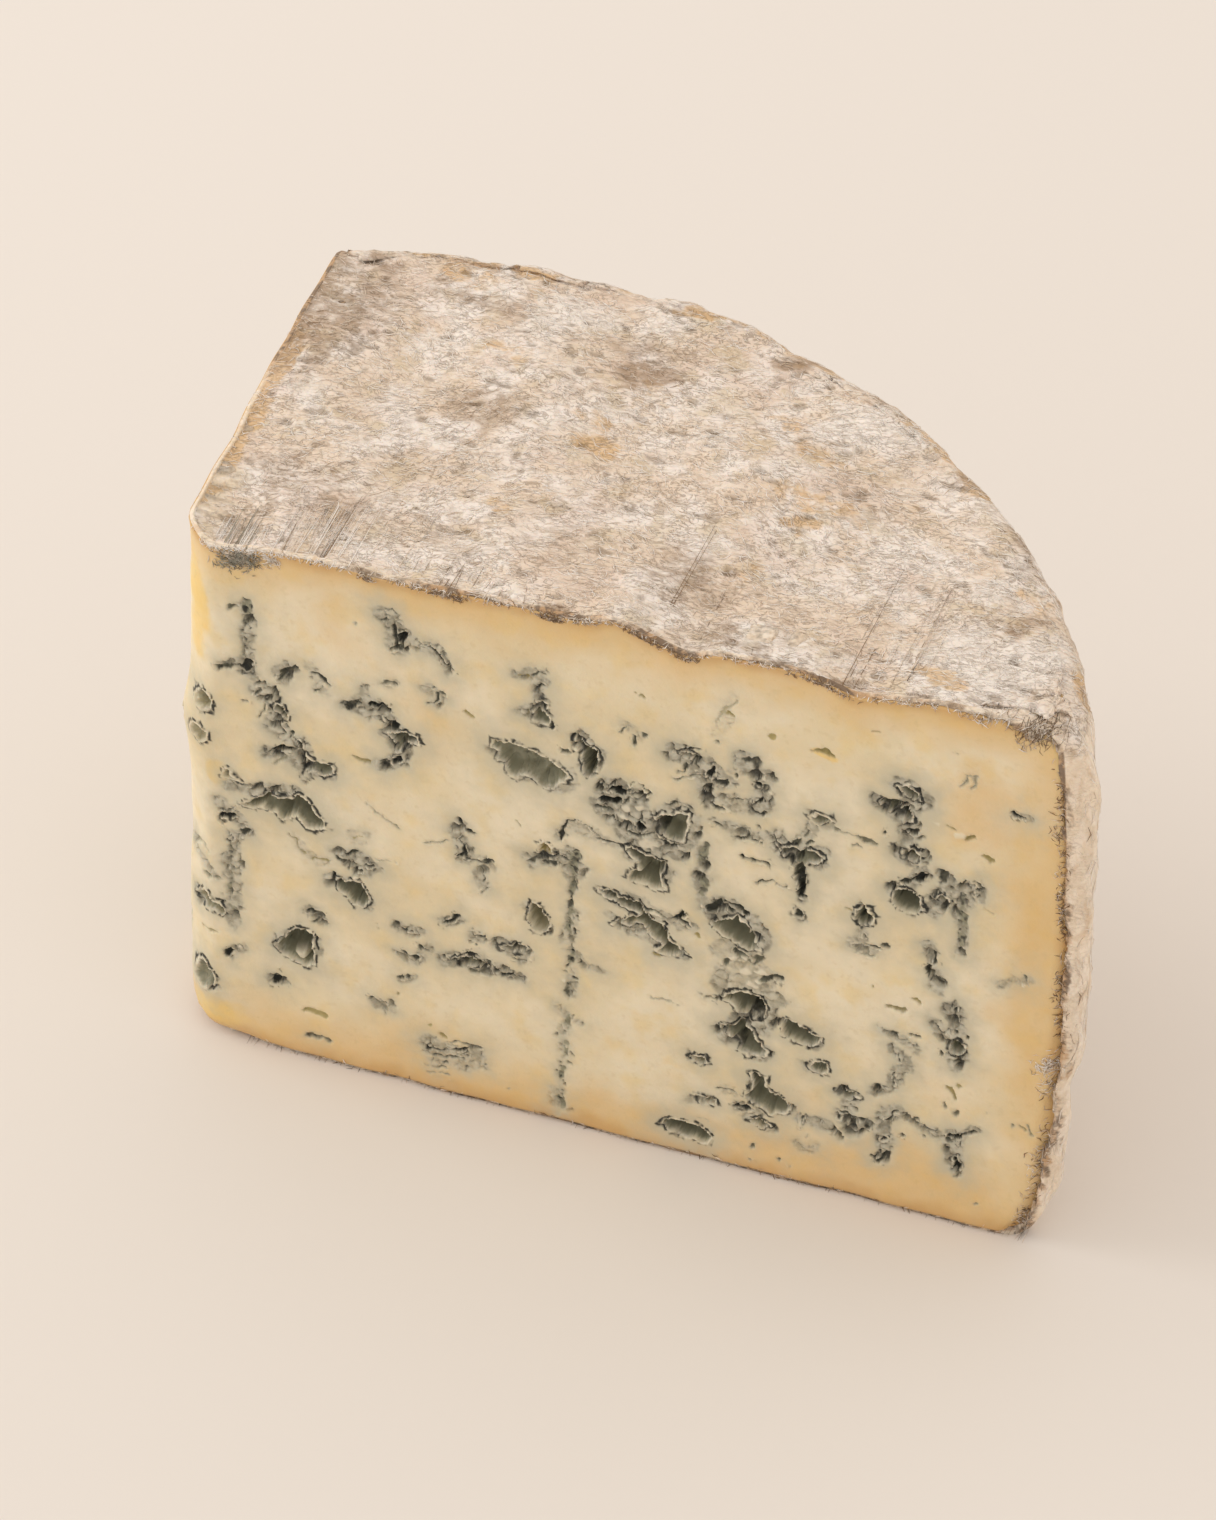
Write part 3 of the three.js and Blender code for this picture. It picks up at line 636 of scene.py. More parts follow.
        [(107.5, 60.5)], [(24.8, 14.2), (26, 13.9), (27.5, 14.3)],
        [(30.3, 83), (30.5, 80.8), (30.3, 78.6)], [(50.6, 77.6), (51.2, 78.3)], [(52, 48.8), (54, 49.1)],
        [(75, 69.1), (76.8, 69.1)], [(78, 60), (79.4, 60.6), (80.5, 60.4)], [(87.3, 12.5), (87, 10.9)],
        [(98.5, 10), (98.3, 8), (97.3, 8.7)], [(100.8, 29), (101, 27.8)], [(107, 34.3), (105.8, 35.7)],
        [(110, 17.2), (111.7, 18)],
    ],
    (0.3, 0.8, 0.8, 0.0): [[(99.3, 16), (100.5, 17.8), (101, 18)]],
    (0.3, 0.8, 0.9, 0.0): [[(44.2, 24.4), (46, 25.2), (47, 24.8)]],
    (0.3, 0.9, 0.9, 0.0): [
        [(33.8, 80.8), (35.8, 79.9), (37, 78.3), (38, 77.2)], [(77.8, 11.6), (79.8, 11.8)],
    ],
    (0.3, 1.0, 0.9, 0.0): [[(73.5, 30.2), (74.8, 30.5), (76, 30.9)]],
    (0.34, 0.7, 0.3, 0.9): [[(109.8, 70), (110.8, 70.4)]],
    (0.35, 0.4, 0.3, 0.9): [[(64, 81)], [(85.7, 33.5)], [(113, 57.2)]],
    (0.35, 0.5, 0.4, 0.5): [[(113.5, 22)]],
    (0.35, 0.5, 0.5, 0.4): [[(45, 4.2)]],
    (0.35, 0.5, 0.5, 0.5): [[(113.5, 9.2)]],
    (0.35, 0.5, 0.5, 0.8): [[(17.5, 37.3), (19, 37.4)]],
    (0.35, 0.6, 0.5, 0.1): [[(115, 46)]],
    (0.35, 0.6, 0.6, 0.1): [[(25.5, 70.3)], [(53.5, 67.8), (54.3, 67.8)]],
    (0.35, 0.6, 0.6, 0.2): [[(8.3, 63)], [(110.5, 57.5)]],
    (0.35, 0.6, 0.6, 0.3): [[(109, 8.8)]],
    (0.35, 0.6, 0.6, 0.4): [[(107.3, 21)]],
    (0.35, 0.6, 0.7, 0.1): [[(22.3, 37.5)], [(24, 37.3)]],
    (0.35, 0.7, 0.6, 0.2): [[(40, 23.8), (42.3, 23.8)]],
    (0.35, 0.7, 0.7, 0.1): [
        [(35.8, 25.3)], [(82.3, 69.2)], [(92.7, 14.3)], [(107, 30.8)], [(32.6, 26), (33.9, 26)],
        [(106.5, 61.6), (106.6, 62.3)],
    ],
    (0.35, 0.7, 0.7, 0.2): [[(51.1, 47.3), (52.3, 47.3)]],
    (0.35, 0.7, 0.8, 0.1): [[(96.5, 13.8)]],
    (0.35, 0.8, 0.6, 0.7): [[(99.5, 37), (101.7, 37)]],
    (0.35, 0.8, 0.6, 0.9): [[(88.3, 78.5), (89.8, 79), (91.2, 78.5)]],
    (0.35, 0.8, 0.7, 0.1): [[(95.5, 48.5)], [(97.3, 20.8)], [(29.7, 78.2), (31.4, 79.4)]],
    (0.35, 0.8, 0.7, 0.4): [[(15.5, 4.3), (18.3, 4.3)]],
    (0.35, 0.8, 0.8, 0.0): [
        [(16, 57.8), (16.3, 56.8)], [(24.8, 38.8), (26.2, 38.7)], [(101, 59.4), (102, 59.9)],
    ],
    (0.35, 0.8, 0.8, 0.1): [
        [(98.6, 67.6)], [(105.3, 55.3)], [(108.8, 29.3)], [(109, 35)], [(30.1, 24.4), (31.8, 24.1)],
        [(40.5, 31), (41.7, 30.9)], [(73.9, 67.7), (74.2, 66)], [(104.8, 43.6), (104.8, 45.4)],
        [(105.3, 46.2), (105.3, 47.9)],
    ],
    (0.35, 0.8, 0.9, 0.0): [[(39.3, 48.3), (38.6, 47.4), (39.3, 46.3), (39.4, 45.2), (38.4, 44.2)]],
    (0.35, 0.9, 0.8, 0.0): [[(86.6, 49.8), (86.5, 49)]],
    (0.35, 0.9, 0.8, 0.1): [[(104.8, 57.6)], [(16.1, 27), (17, 27.5), (17.9, 27.3)]],
    (0.35, 0.9, 0.9, 0.0): [
        [(36, 31.5), (37.2, 32.3), (38, 33.6)], [(108.3, 39.4), (108.7, 38.2), (108.7, 37)],
    ],
    (0.35, 0.9, 0.9, 0.1): [[(50, 48), (51.8, 48.6)]],
    (0.35, 1.0, 0.8, 0.0): [[(100, 65.1)]],
    (0.35, 1.0, 0.9, 0.0): [[(103.6, 65.9)]],
    (0.35, 1.0, 0.9, 0.1): [[(115.8, 76.1), (117.5, 75.9)]],
    (0.35, 1.2, 0.9, 0.0): [[(101.6, 67.2)], [(102.8, 69)]],
    (0.38, 1.6, 0.9, 0.0): [[(11.4, 55), (12.8, 55.8), (14.2, 56.3), (16, 56.5)]],
    (0.4, 0.3, 0.2, 0.3): [[(24.5, 81)]],
    (0.4, 0.3, 0.2, 0.9): [[(83, 79.5)]],
    (0.4, 0.4, 0.3, 0.9): [[(97, 40)]],
    (0.4, 0.4, 0.4, 0.9): [[(33.8, 12)], [(72.8, 41)]],
    (0.4, 0.5, 0.4, 0.8): [[(23.2, 43.2), (24.8, 43.5)]],
    (0.4, 0.5, 0.4, 0.9): [[(15.2, 9), (16.6, 9.4), (18, 9)]],
    (0.4, 0.6, 0.5, 0.1): [[(117.8, 48.3), (118.5, 46.8)]],
    (0.4, 0.6, 0.5, 0.7): [[(0.2, 19.3), (2.5, 19.3)]],
    (0.4, 0.6, 0.6, 0.0): [[(52.4, 71.8)]],
    (0.4, 0.6, 0.6, 0.8): [[(47, 79), (47.8, 79.3), (48.6, 79)]],
    (0.4, 0.7, 0.5, 0.7): [[(23.7, 57.3), (25.8, 57.3)]],
    (0.4, 0.7, 0.6, 0.1): [[(86.2, 61.6), (87.2, 63), (88, 64.4)]],
    (0.4, 0.7, 0.7, 0.1): [[(7.1, 38.9), (7.7, 39.4)]],
    (0.4, 0.8, 0.7, 0.0): [[(14.8, 59.5)], [(77.6, 39.8), (79, 39.4)]],
    (0.4, 0.8, 0.7, 0.1): [
        [(13.2, 68.2), (14, 69.4), (15, 70.2)], [(46, 28.5), (48, 28.5)], [(58.2, 59.4), (59.8, 59.7)],
    ],
    (0.4, 0.8, 0.8, 0.1): [[(23, 66.4), (24.2, 67), (25.3, 67.6)]],
    (0.4, 0.9, 0.8, 0.1): [[(79.1, 56.9), (82.1, 56.9)]],
    (0.4, 1.0, 0.8, 0.1): [[(76.8, 48.6), (78.2, 47.9), (79.2, 47)]],
    (0.4, 1.0, 0.9, 0.0): [
        [(60.3, 58.3), (61.4, 57.8), (62.5, 57.3)], [(69.4, 43.2), (70.2, 44.4)],
        [(74.2, 70), (74.8, 71.6)],
    ],
    (0.4, 1.4, 1.0, 0.0): [[(81, 23.1)]],
    (0.4, 1.6, 1.0, 0.0): [[(101.2, 68.6), (102.2, 68.6)]],
    (0.45, 0.8, 0.5, 0.3): [[(92, 65.9), (94.5, 65.5), (97, 65)]],
    (0.45, 0.8, 0.7, 0.0): [[(81.6, 36), (83, 36.8), (84.2, 37)]],
    (0.45, 0.9, 0.7, 0.1): [[(41.7, 39.2), (42.9, 40.1)]],
    (0.45, 0.9, 0.9, 0.0): [[(8.4, 68.7), (9.4, 70)]],
    (0.45, 1.2, 1.0, 0.0): [[(4.3, 41.2), (5.4, 41.4), (6.4, 41.8)]],
    (0.45, 1.4, 0.9, 0.0): [[(102.6, 60.4), (104, 61.5)]],
    (0.45, 1.6, 1.0, 0.0): [[(64.1, 57.8), (64.8, 58.2)]],
    (0.45, 1.8, 1.0, 0.0): [[(80.5, 70.5), (81.3, 70.4)]],
    (0.5, 0.4, 0.3, 0.3): [[(72.3, 7.4), (73.9, 7.4)]],
    (0.5, 0.5, 0.3, 0.3): [[(12.5, 53.5), (14, 54.5)]],
    (0.5, 0.7, 0.3, 0.2): [[(1.2, 29.7), (2.6, 29.7)]],
    (0.5, 0.7, 0.3, 0.4): [[(-1.5, 32.5), (-0.5, 34.6), (1, 35), (2, 33.8)]],
    (0.5, 0.9, 0.5, 0.1): [[(76.4, 37.2), (78, 38.6), (80, 38.4), (81.6, 39.6)]],
    (0.5, 0.9, 0.7, 0.1): [[(20.6, 39), (21.4, 38.5), (22, 38.4)]],
    (0.5, 1.0, 0.8, 0.0): [[(3.9, 16), (4.8, 17), (5.8, 17.6)], [(22.3, 39.9), (23.5, 40.7)]],
    (0.5, 1.2, 0.8, 0.1): [[(74.4, 46.4), (75.8, 47.4), (77.4, 47.3)]],
    (0.5, 1.4, 0.9, 0.0): [[(109, 12.2), (109.2, 10.3)]],
    (0.5, 1.4, 1.0, 0.0): [[(31.3, 80.4), (32.1, 81.6)]],
    (0.5, 1.6, 0.9, 0.0): [[(28.4, 66.3), (29.2, 65.4), (29.4, 64.7)]],
    (0.5, 1.6, 1.0, 0.0): [[(10.6, 12.8), (11.4, 13.4), (12, 14.1)], [(29.6, 58.7), (30.6, 59.2)]],
    (0.5, 1.8, 1.0, 0.0): [[(98.8, 12.3)], [(108.5, 16), (109.3, 16.5)]],
    (0.5, 2.0, 1.0, 0.0): [
        [(59.1, 60.9), (60.2, 61.3), (61.3, 61.4)], [(80.6, 66.5), (81, 67.5)],
        [(98.4, 22.1), (99.6, 22.3)],
    ],
    (0.55, 2.0, 1.0, 0.0): [[(26.4, 67.4), (27.4, 67.9), (28.5, 67.4)]],
    (0.6, 1.6, 0.85, 0.0): [[(87, 55.8), (86.9, 54), (87, 52.8)]],
    (0.6, 2.2, 1.0, 0.0): [[(59.8, 62.8), (60.8, 63.3), (61.8, 63.2)]],
    (0.8, 1.8, 0.7, 0.1): [[(87, 57.8), (87.1, 56.2)]],
}
frontThreads = [(*style, course) for style, courses in frontThreadStyles.items()
                for course in courses]

# Tracks that a piercing needle left: half-width, how dark, and the course from top to bottom.
frontTracks = [
    (0.65, 0.75, [(9.6, 80), (9.0, 76), (8.8, 72)]),
    (0.6, 0.35, [(5.5, 38.3), (5.2, 33), (5.2, 30), (4.8, 26.6), (5, 22.8)]),
    (0.85, 0.7, [(54.7, 50), (54.7, 46), (54.5, 44)]),
    (0.7, 0.55, [(54.7, 43.5), (54.4, 40), (54.3, 36), (54.5, 31.3), (54.2, 29), (53.8, 24)]),
    (0.55, 0.35, [(53.6, 22), (53.4, 17), (53.2, 13.4), (52.3, 7), (52.2, 2.6)]),
    (0.65, 0.5, [(73.5, 57.6), (73.1, 53), (73.1, 48.4)]),
    (0.75, 0.6, [(109.4, 59.6), (109.1, 55), (109, 49)]),
]
trackSpeck = {"spacing": 0.75, "scatter": 0.6, "radius": 0.24, "depth": 0.7}

# Crumbly, mouldy stretches that the openings and threads lie in: half-width, how mouldy, courses.
frontMouldStyles = {
    (0.8, 0.3): [[(75.6, 76), (76.4, 80), (78, 84)]],
    (0.8, 0.4): [[(75.2, 14), (77.4, 14)]],
    (0.8, 0.6): [[(86.6, 50), (86.5, 48.8)]],
    (0.9, 0.4): [
        [(14.4, 40.6), (16.2, 38.2), (18.8, 37.4)], [(23.4, 43.4), (24.8, 43.4)],
        [(62, 74.4), (64.6, 74)],
    ],
    (0.9, 0.45): [[(53, 17.8), (53.2, 13.6)]],
    (0.9, 0.5): [
        [(28.6, 72), (30.2, 72)], [(30.6, 20), (29.6, 19.4)], [(40.6, 44.4), (43, 44.8)],
        [(59, 53.7), (61.8, 53.5)], [(86.6, 7.4), (89.2, 7.4)],
    ],
    (0.9, 0.6): [
        [(25, 14.2), (27.2, 14)], [(79.8, 9.6), (82.8, 9.6)], [(88.4, 22.4), (90.8, 22.6)],
        [(95.6, 49.4), (95.5, 47.4)], [(110.2, 17.4), (111.6, 18)], [(115.8, 76), (117.5, 76)],
    ],
    (1.0, 0.5): [[(53.2, 52.4), (55, 55.6), (58, 54.2)], [(78, 71.2)], [(115, 46.2), (118.2, 47.4)]],
    (1.0, 0.55): [
        [(18.2, 70.6), (20.2, 69.4), (19, 68)], [(54.4, 28.4), (53.8, 24.6)],
        [(71.6, 18.6), (73.6, 18.6)], [(88.6, 67), (90.8, 67.2)],
    ],
    (1.0, 0.6): [
        [(2.6, 30), (-1, 34)], [(3.9, 15.8), (5.8, 17.8)], [(71.6, 11.2), (74.6, 11.2)],
        [(94.2, 46.2), (97.6, 46.4)], [(102.8, 31), (99, 31.8)],
    ],
    (1.0, 0.65): [[(74.6, 61.7), (79, 61), (83.2, 61.8), (84.4, 59.4)]],
    (1.0, 0.7): [[(10.8, 13), (12.6, 13.6)]],
    (1.0, 0.75): [[(73.4, 57.4), (73, 52), (73.2, 46.2)]],
    (1.1, 0.45): [[(52.2, 6.8), (51.8, 3.2)]],
    (1.1, 0.5): [[(52, 21), (55, 20)]],
    (1.1, 0.55): [[(54.4, 40), (54.3, 34)]],
    (1.1, 0.6): [
        [(24.8, 68), (25.6, 70.2)], [(29.2, 24.2), (31.8, 24), (33.8, 26)], [(40.2, 30.4), (41.6, 30.8)],
        [(41.4, 43.4), (42.2, 40)], [(47.4, 79.2), (50.8, 79.6)], [(54.6, 50), (54.4, 44)],
        [(67, 43.2), (71, 43)], [(77.8, 11.6), (80.6, 11.8)],
    ],
    (1.1, 0.65): [
        [(16.2, 27.2), (17.8, 26.6)], [(29.4, 28.6), (31.6, 28.5)], [(36.2, 31.8), (38, 33.4)],
        [(102.4, 17.2), (104.6, 16), (107.4, 15.6)],
    ],
    (1.1, 0.7): [[(33.8, 80.6), (36, 79.4), (37.8, 77.4)]],
    (1.1, 0.75): [[(109.4, 59.8), (109.1, 54), (109, 49)]],
    (1.1, 0.85): [[(87, 58), (86.9, 53)]],
    (1.2, 0.55): [[(34, 5.4), (36.4, 6.4), (41, 7)], [(54.4, 31.4), (58.6, 30)]],
    (1.2, 0.6): [
        [(-1, 12), (1, 9)], [(0.5, 61.8), (2.5, 60)], [(6.2, 68.2), (8.5, 69)], [(16.2, 58), (16.4, 52)],
        [(35, 73.4), (36.4, 71.4)], [(48.8, 38.6), (50.6, 36)], [(67.4, 4.6), (73.8, 4.4)],
        [(75.4, 66.2), (79, 66)],
    ],
    (1.2, 0.65): [[(38.8, 50.8), (39, 46.4), (39.4, 44.4)], [(107, 34.4), (105.8, 35.6)]],
    (1.2, 0.7): [
        [(-0.5, 24.6), (3.4, 24)], [(4, 43.5), (6.5, 41.5), (7.6, 38.6)],
        [(5.5, 47.5), (8, 46.5), (11.5, 48), (15, 49)], [(13.6, 68.6), (15, 70)],
        [(44.2, 30), (47.6, 30.4), (47.6, 28.8)], [(91.8, 11.8), (87.2, 11.8)], [(95, 52.6), (96, 50.6)],
        [(100.9, 28.8), (101.6, 26.4), (100, 24.4), (99.2, 22.2), (97.6, 21)],
        [(104.4, 48.4), (105.2, 45), (106.6, 42.8)],
    ],
    (1.3, 0.6): [
        [(56, 48), (55.6, 46.4)], [(61, 40), (66, 38.6), (70, 36.8)], [(86.6, 61.6), (88, 64.6)],
    ],
    (1.3, 0.65): [[(5.5, 38), (5.3, 33), (5, 27), (4.9, 22.6)], [(49, 47), (51, 48), (53.6, 49)]],
    (1.3, 0.7): [
        [(9.3, 79), (9, 72), (8.8, 68)], [(28.8, 84.6), (30.4, 83.4), (30.4, 79), (32, 81.4)],
        [(36, 25.4), (40, 26), (43, 25.4), (46.6, 25)], [(84.6, 29), (89.6, 27)],
    ],
    (1.3, 0.75): [
        [(92.6, 19), (95, 19), (94, 16.4)], [(100.8, 17.8), (99.2, 16), (98.9, 12.4), (98.2, 8.6)],
        [(107.6, 60.6), (111.6, 61.4)],
    ],
    (1.3, 0.8): [[(11.6, 54.4), (14, 54.6), (16.4, 53.8), (19.8, 54)]],
    (1.4, 0.6): [[(43.8, 65.2), (48.4, 61.8), (52.6, 61.2), (54.4, 63.4)]],
    (1.4, 0.7): [
        [(20, 34), (23.6, 34.6), (25, 32.2)], [(62.8, 53), (66.8, 52.8), (68, 50)],
        [(74.6, 71.4), (76.4, 69.2)], [(76.6, 24.4), (81.6, 22.4)],
    ],
    (1.4, 0.75): [
        [(50.8, 78.2), (50.6, 75), (50.6, 72.4), (48.6, 73)], [(93, 15), (96.4, 14.4), (94.6, 13)],
    ],
    (1.4, 0.8): [
        [(23.4, 66.6), (26.5, 67.4), (28.8, 66.4), (29.2, 64.6)],
        [(108.4, 39.4), (108.6, 35.4), (109, 31.4), (108.8, 29.4)],
        [(108.8, 16.6), (108.8, 14.4), (109.2, 10.4)],
    ],
    (1.5, 0.6): [[(59.4, 44.4), (64, 43.6), (67.6, 41.4)]],
    (1.5, 0.65): [[(12, 19.6), (14.6, 23), (16.6, 21)]],
    (1.5, 0.7): [
        [(56, 69.8), (58.2, 67.6), (57.2, 65.4)], [(67.2, 59.2), (69.6, 62.6), (71.6, 61.8), (71, 57.4)],
    ],
    (1.5, 0.75): [
        [(10.6, 66), (12.4, 64.5), (13.4, 62), (12.5, 59.5), (15.6, 57.6)],
        [(20.8, 39), (23.6, 40.4), (26, 38.8), (23.8, 37.4)],
    ],
    (1.5, 0.8): [
        [(29, 63), (31.6, 62.6), (30.2, 59.4), (28.4, 58)], [(100.6, 65), (103.6, 65.4)],
        [(103.4, 61.4), (101.6, 59.4)], [(105.2, 56), (106.6, 59), (106.8, 62.2)],
    ],
    (1.5, 0.85): [[(98, 72), (101, 71)]],
    (1.6, 0.65): [[(33.4, 8), (37, 8.6), (40.6, 9.4)]],
    (1.6, 0.75): [[(80.6, 17.6), (81.2, 14.6), (84.6, 13.4)]],
    (1.6, 0.8): [
        [(58.4, 59.6), (61.4, 58.2)], [(79.2, 73.8), (81.4, 71.6), (81.4, 68.2), (80.6, 65.6)],
        [(100, 57.2), (103.4, 56.2)],
    ],
    (1.7, 0.8): [
        [(69.4, 72.2), (71.8, 71.4), (73.4, 69), (74.2, 65.2)], [(84.4, 60), (87, 60), (89.4, 60)],
    ],
    (1.7, 0.9): [[(101.6, 70), (101.8, 66.6), (102.4, 64.4)]],
    (1.8, 0.75): [[(82.6, 30.6), (81, 27.4), (78, 26.4)]],
    (1.8, 0.8): [[(74.6, 46), (77, 47.4), (79.4, 46.4), (80.8, 42.2)]],
    (1.9, 0.9): [[(100.6, 76), (102.6, 75), (101, 71.6)]],
    (2.0, 0.55): [[(76.4, 34), (79.4, 34.6), (82.8, 33)]],
    (2.0, 0.85): [[(62.6, 55.8), (66.4, 55.2), (69.6, 55.6)]],
    (2.3, 0.5): [[(76.4, 39.4), (79.4, 38.6), (82.4, 36.8)]],
    (2.6, 0.9): [[(60.4, 62.4), (63.2, 61.2), (64.2, 58.6)]],
}
frontMould = [(*style, course) for style, courses in frontMouldStyles.items()
              for course in courses]

# Pale lumps of curd that stand in or beside the veins: along, up, half-width, half-height, rise.
frontCurds = [
    (65.6, 55.1, 2.2, 1.2, 0.9), (81.4, 35.5, 0.8, 0.5, 0.5), (53.2, 26.8, 0.6, 0.5, 0.4),
    (62.6, 60.6, 1.0, 0.9, 0.6), (64.6, 61.4, 0.9, 0.8, 0.5), (62.4, 58.9, 0.8, 0.7, 0.5),
    (105.6, 71.2, 0.8, 0.5, 0.3), (108.6, 70.2, 1.3, 0.8, 0.3), (73.2, 46.5, 0.5, 0.5, 0.3),
    (79, 38.8, 0.7, 0.6, 0.5), (80.9, 37.4, 0.7, 0.5, 0.5), (14.6, 18.6, 1.3, 0.6, 0.9),
    (23.4, 36.1, 0.9, 0.35, 0.5), (70.3, 39.2, 1.2, 0.4, 0.5), (66.6, 43, 1.3, 0.35, 0.4),
    (79.2, 36.6, 1.5, 1.1, 0.3), (81.6, 37.4, 1.1, 0.8, 0.3), (77.6, 38.6, 0.9, 0.6, 0.3),
    (80.4, 34.6, 1.1, 0.7, 0.3),
]


leftCut = {"width": 62, "height": 90, "seed": 11, "clusters": 17, "spots": 40, "tracks": 3}
outlineCorners = 11


# A made-up set of veins for the cut that doesn't face the camera, in the same manner as the front.
def inventVeins():
    dice = random.Random(leftCut["seed"])
    width = leftCut["width"]
    height = leftCut["height"]
    pockets = []
    threads = []
    tracks = []
    mould = []
    for _ in range(leftCut["clusters"]):
        along = dice.uniform(0.12, 0.9) * width
        up = dice.uniform(0.07, 0.9) * height
        heading = dice.gauss(0.3, 0.7)
        length = dice.uniform(0.9, 3.4)
        girth = dice.uniform(0.5, 1.3)
        outline = []
        for i in range(outlineCorners):
            angle = 2 * math.pi * i / outlineCorners
            reach = dice.uniform(0.7, 1.25)
            a = length * math.cos(angle) * reach
            b = girth * math.sin(angle) * reach
            outline.append((along + a * math.cos(heading) - b * math.sin(heading),
                            up + a * math.sin(heading) + b * math.cos(heading)))
        pockets.append((dice.uniform(2, 4.6), dice.uniform(0.6, 1), dice.choice([0, 0, 0, 0.5]), outline))
        course = [
            (along - 1.3 * length * math.cos(heading), up - 1.3 * length * math.sin(heading)),
            (along, up),
            (along + dice.gauss(0, 3), up + dice.gauss(0, 3)),
        ]
        mould.append((dice.uniform(1.1, 2), dice.uniform(0.55, 0.85), course))
        for _ in range(7):
            threads.append(wander(dice, along + dice.gauss(0, 4), up + dice.gauss(0, 3.5)))
            mould.append((threads[-1][0] + dice.uniform(0.5, 0.9), 0.6, threads[-1][-1]))
    for _ in range(leftCut["spots"]):
        threads.append(wander(dice, dice.uniform(0.08, 0.95) * width, dice.uniform(0.04, 0.96) * height))
    for _ in range(leftCut["tracks"]):
        along = dice.uniform(0.2, 0.9) * width
        top = dice.uniform(0.5, 0.9) * height
        course = [(along + dice.gauss(0, 0.3), top - 4 * i) for i in range(dice.randint(3, 6))]
        tracks.append((0.7, 0.6, course))
        mould.append((1.1, 0.7, course))
    return pockets, threads, tracks, mould, []


# One made-up thread that sets out from a place.
def wander(dice, along, up):
    heading = dice.gauss(0.1, 0.8)
    course = [(along, up)]
    for _ in range(dice.choice([0, 1, 2, 2, 3, 4])):
        heading += dice.gauss(0, 0.7)
        step = dice.uniform(0.7, 1.5)
        along += step * math.cos(heading)
        up += step * math.sin(heading)
        course.append((along, up))
    radius = dice.uniform(0.17, 0.42)
    return radius, radius * 2, dice.uniform(0.5, 1), dice.choice([0, 0, 0.1, 0.1, 0.8]), course


def courseDistance(points, course):
    course = np.array(course, float)
    if len(course) == 1:
        return np.hypot(*(points - course[0]).T)
    nearest = np.full(len(points), 1e9)
    for first, last in zip(course, course[1:]):
        way = last - first
        share = np.clip((points - first) @ way / (way @ way), 0, 1)
        nearest = np.minimum(nearest, np.hypot(*(points - first - share[:, None] * way).T))
    return nearest


# Distance from a closed outline, negative inside it.
def outlineDistance(points, corners):
    corners = np.array(corners, float)
    nearest = courseDistance(points, np.concatenate([corners, corners[:1]]))
    inside = np.zeros(len(points), bool)
    for first, last in zip(corners, np.roll(corners, -1, axis=0)):
        if first[1] == last[1]:
            continue
        crosses = (first[1] > points[:, 1]) != (last[1] > points[:, 1])
        at = first[0] + (points[:, 1] - first[1]) * (last[0] - first[0]) / (last[1] - first[1])
        inside ^= crosses & (points[:, 0] < at)
    return np.where(inside, -nearest, nearest)


veinLook = {
    "ragged": 0.36,
    "loose": 0.9,
    "raggedSize": 1.1,
    "haloReach": 2.6,
    "lipHeight": 0.22,
    "lipPlace": 0.06,
    "lipWidth": 0.15,
    "linePlace": 0.42,
    "lineWidth": 0.22,
    "crumbSize": 1.7,
    "pocketReach": 9,
    "threadReach": 5,
    "trackReach": 4,
    "mouldReach": 6,
}
fieldNames = ("sink", "rise", "dark", "mould", "olive", "zone")
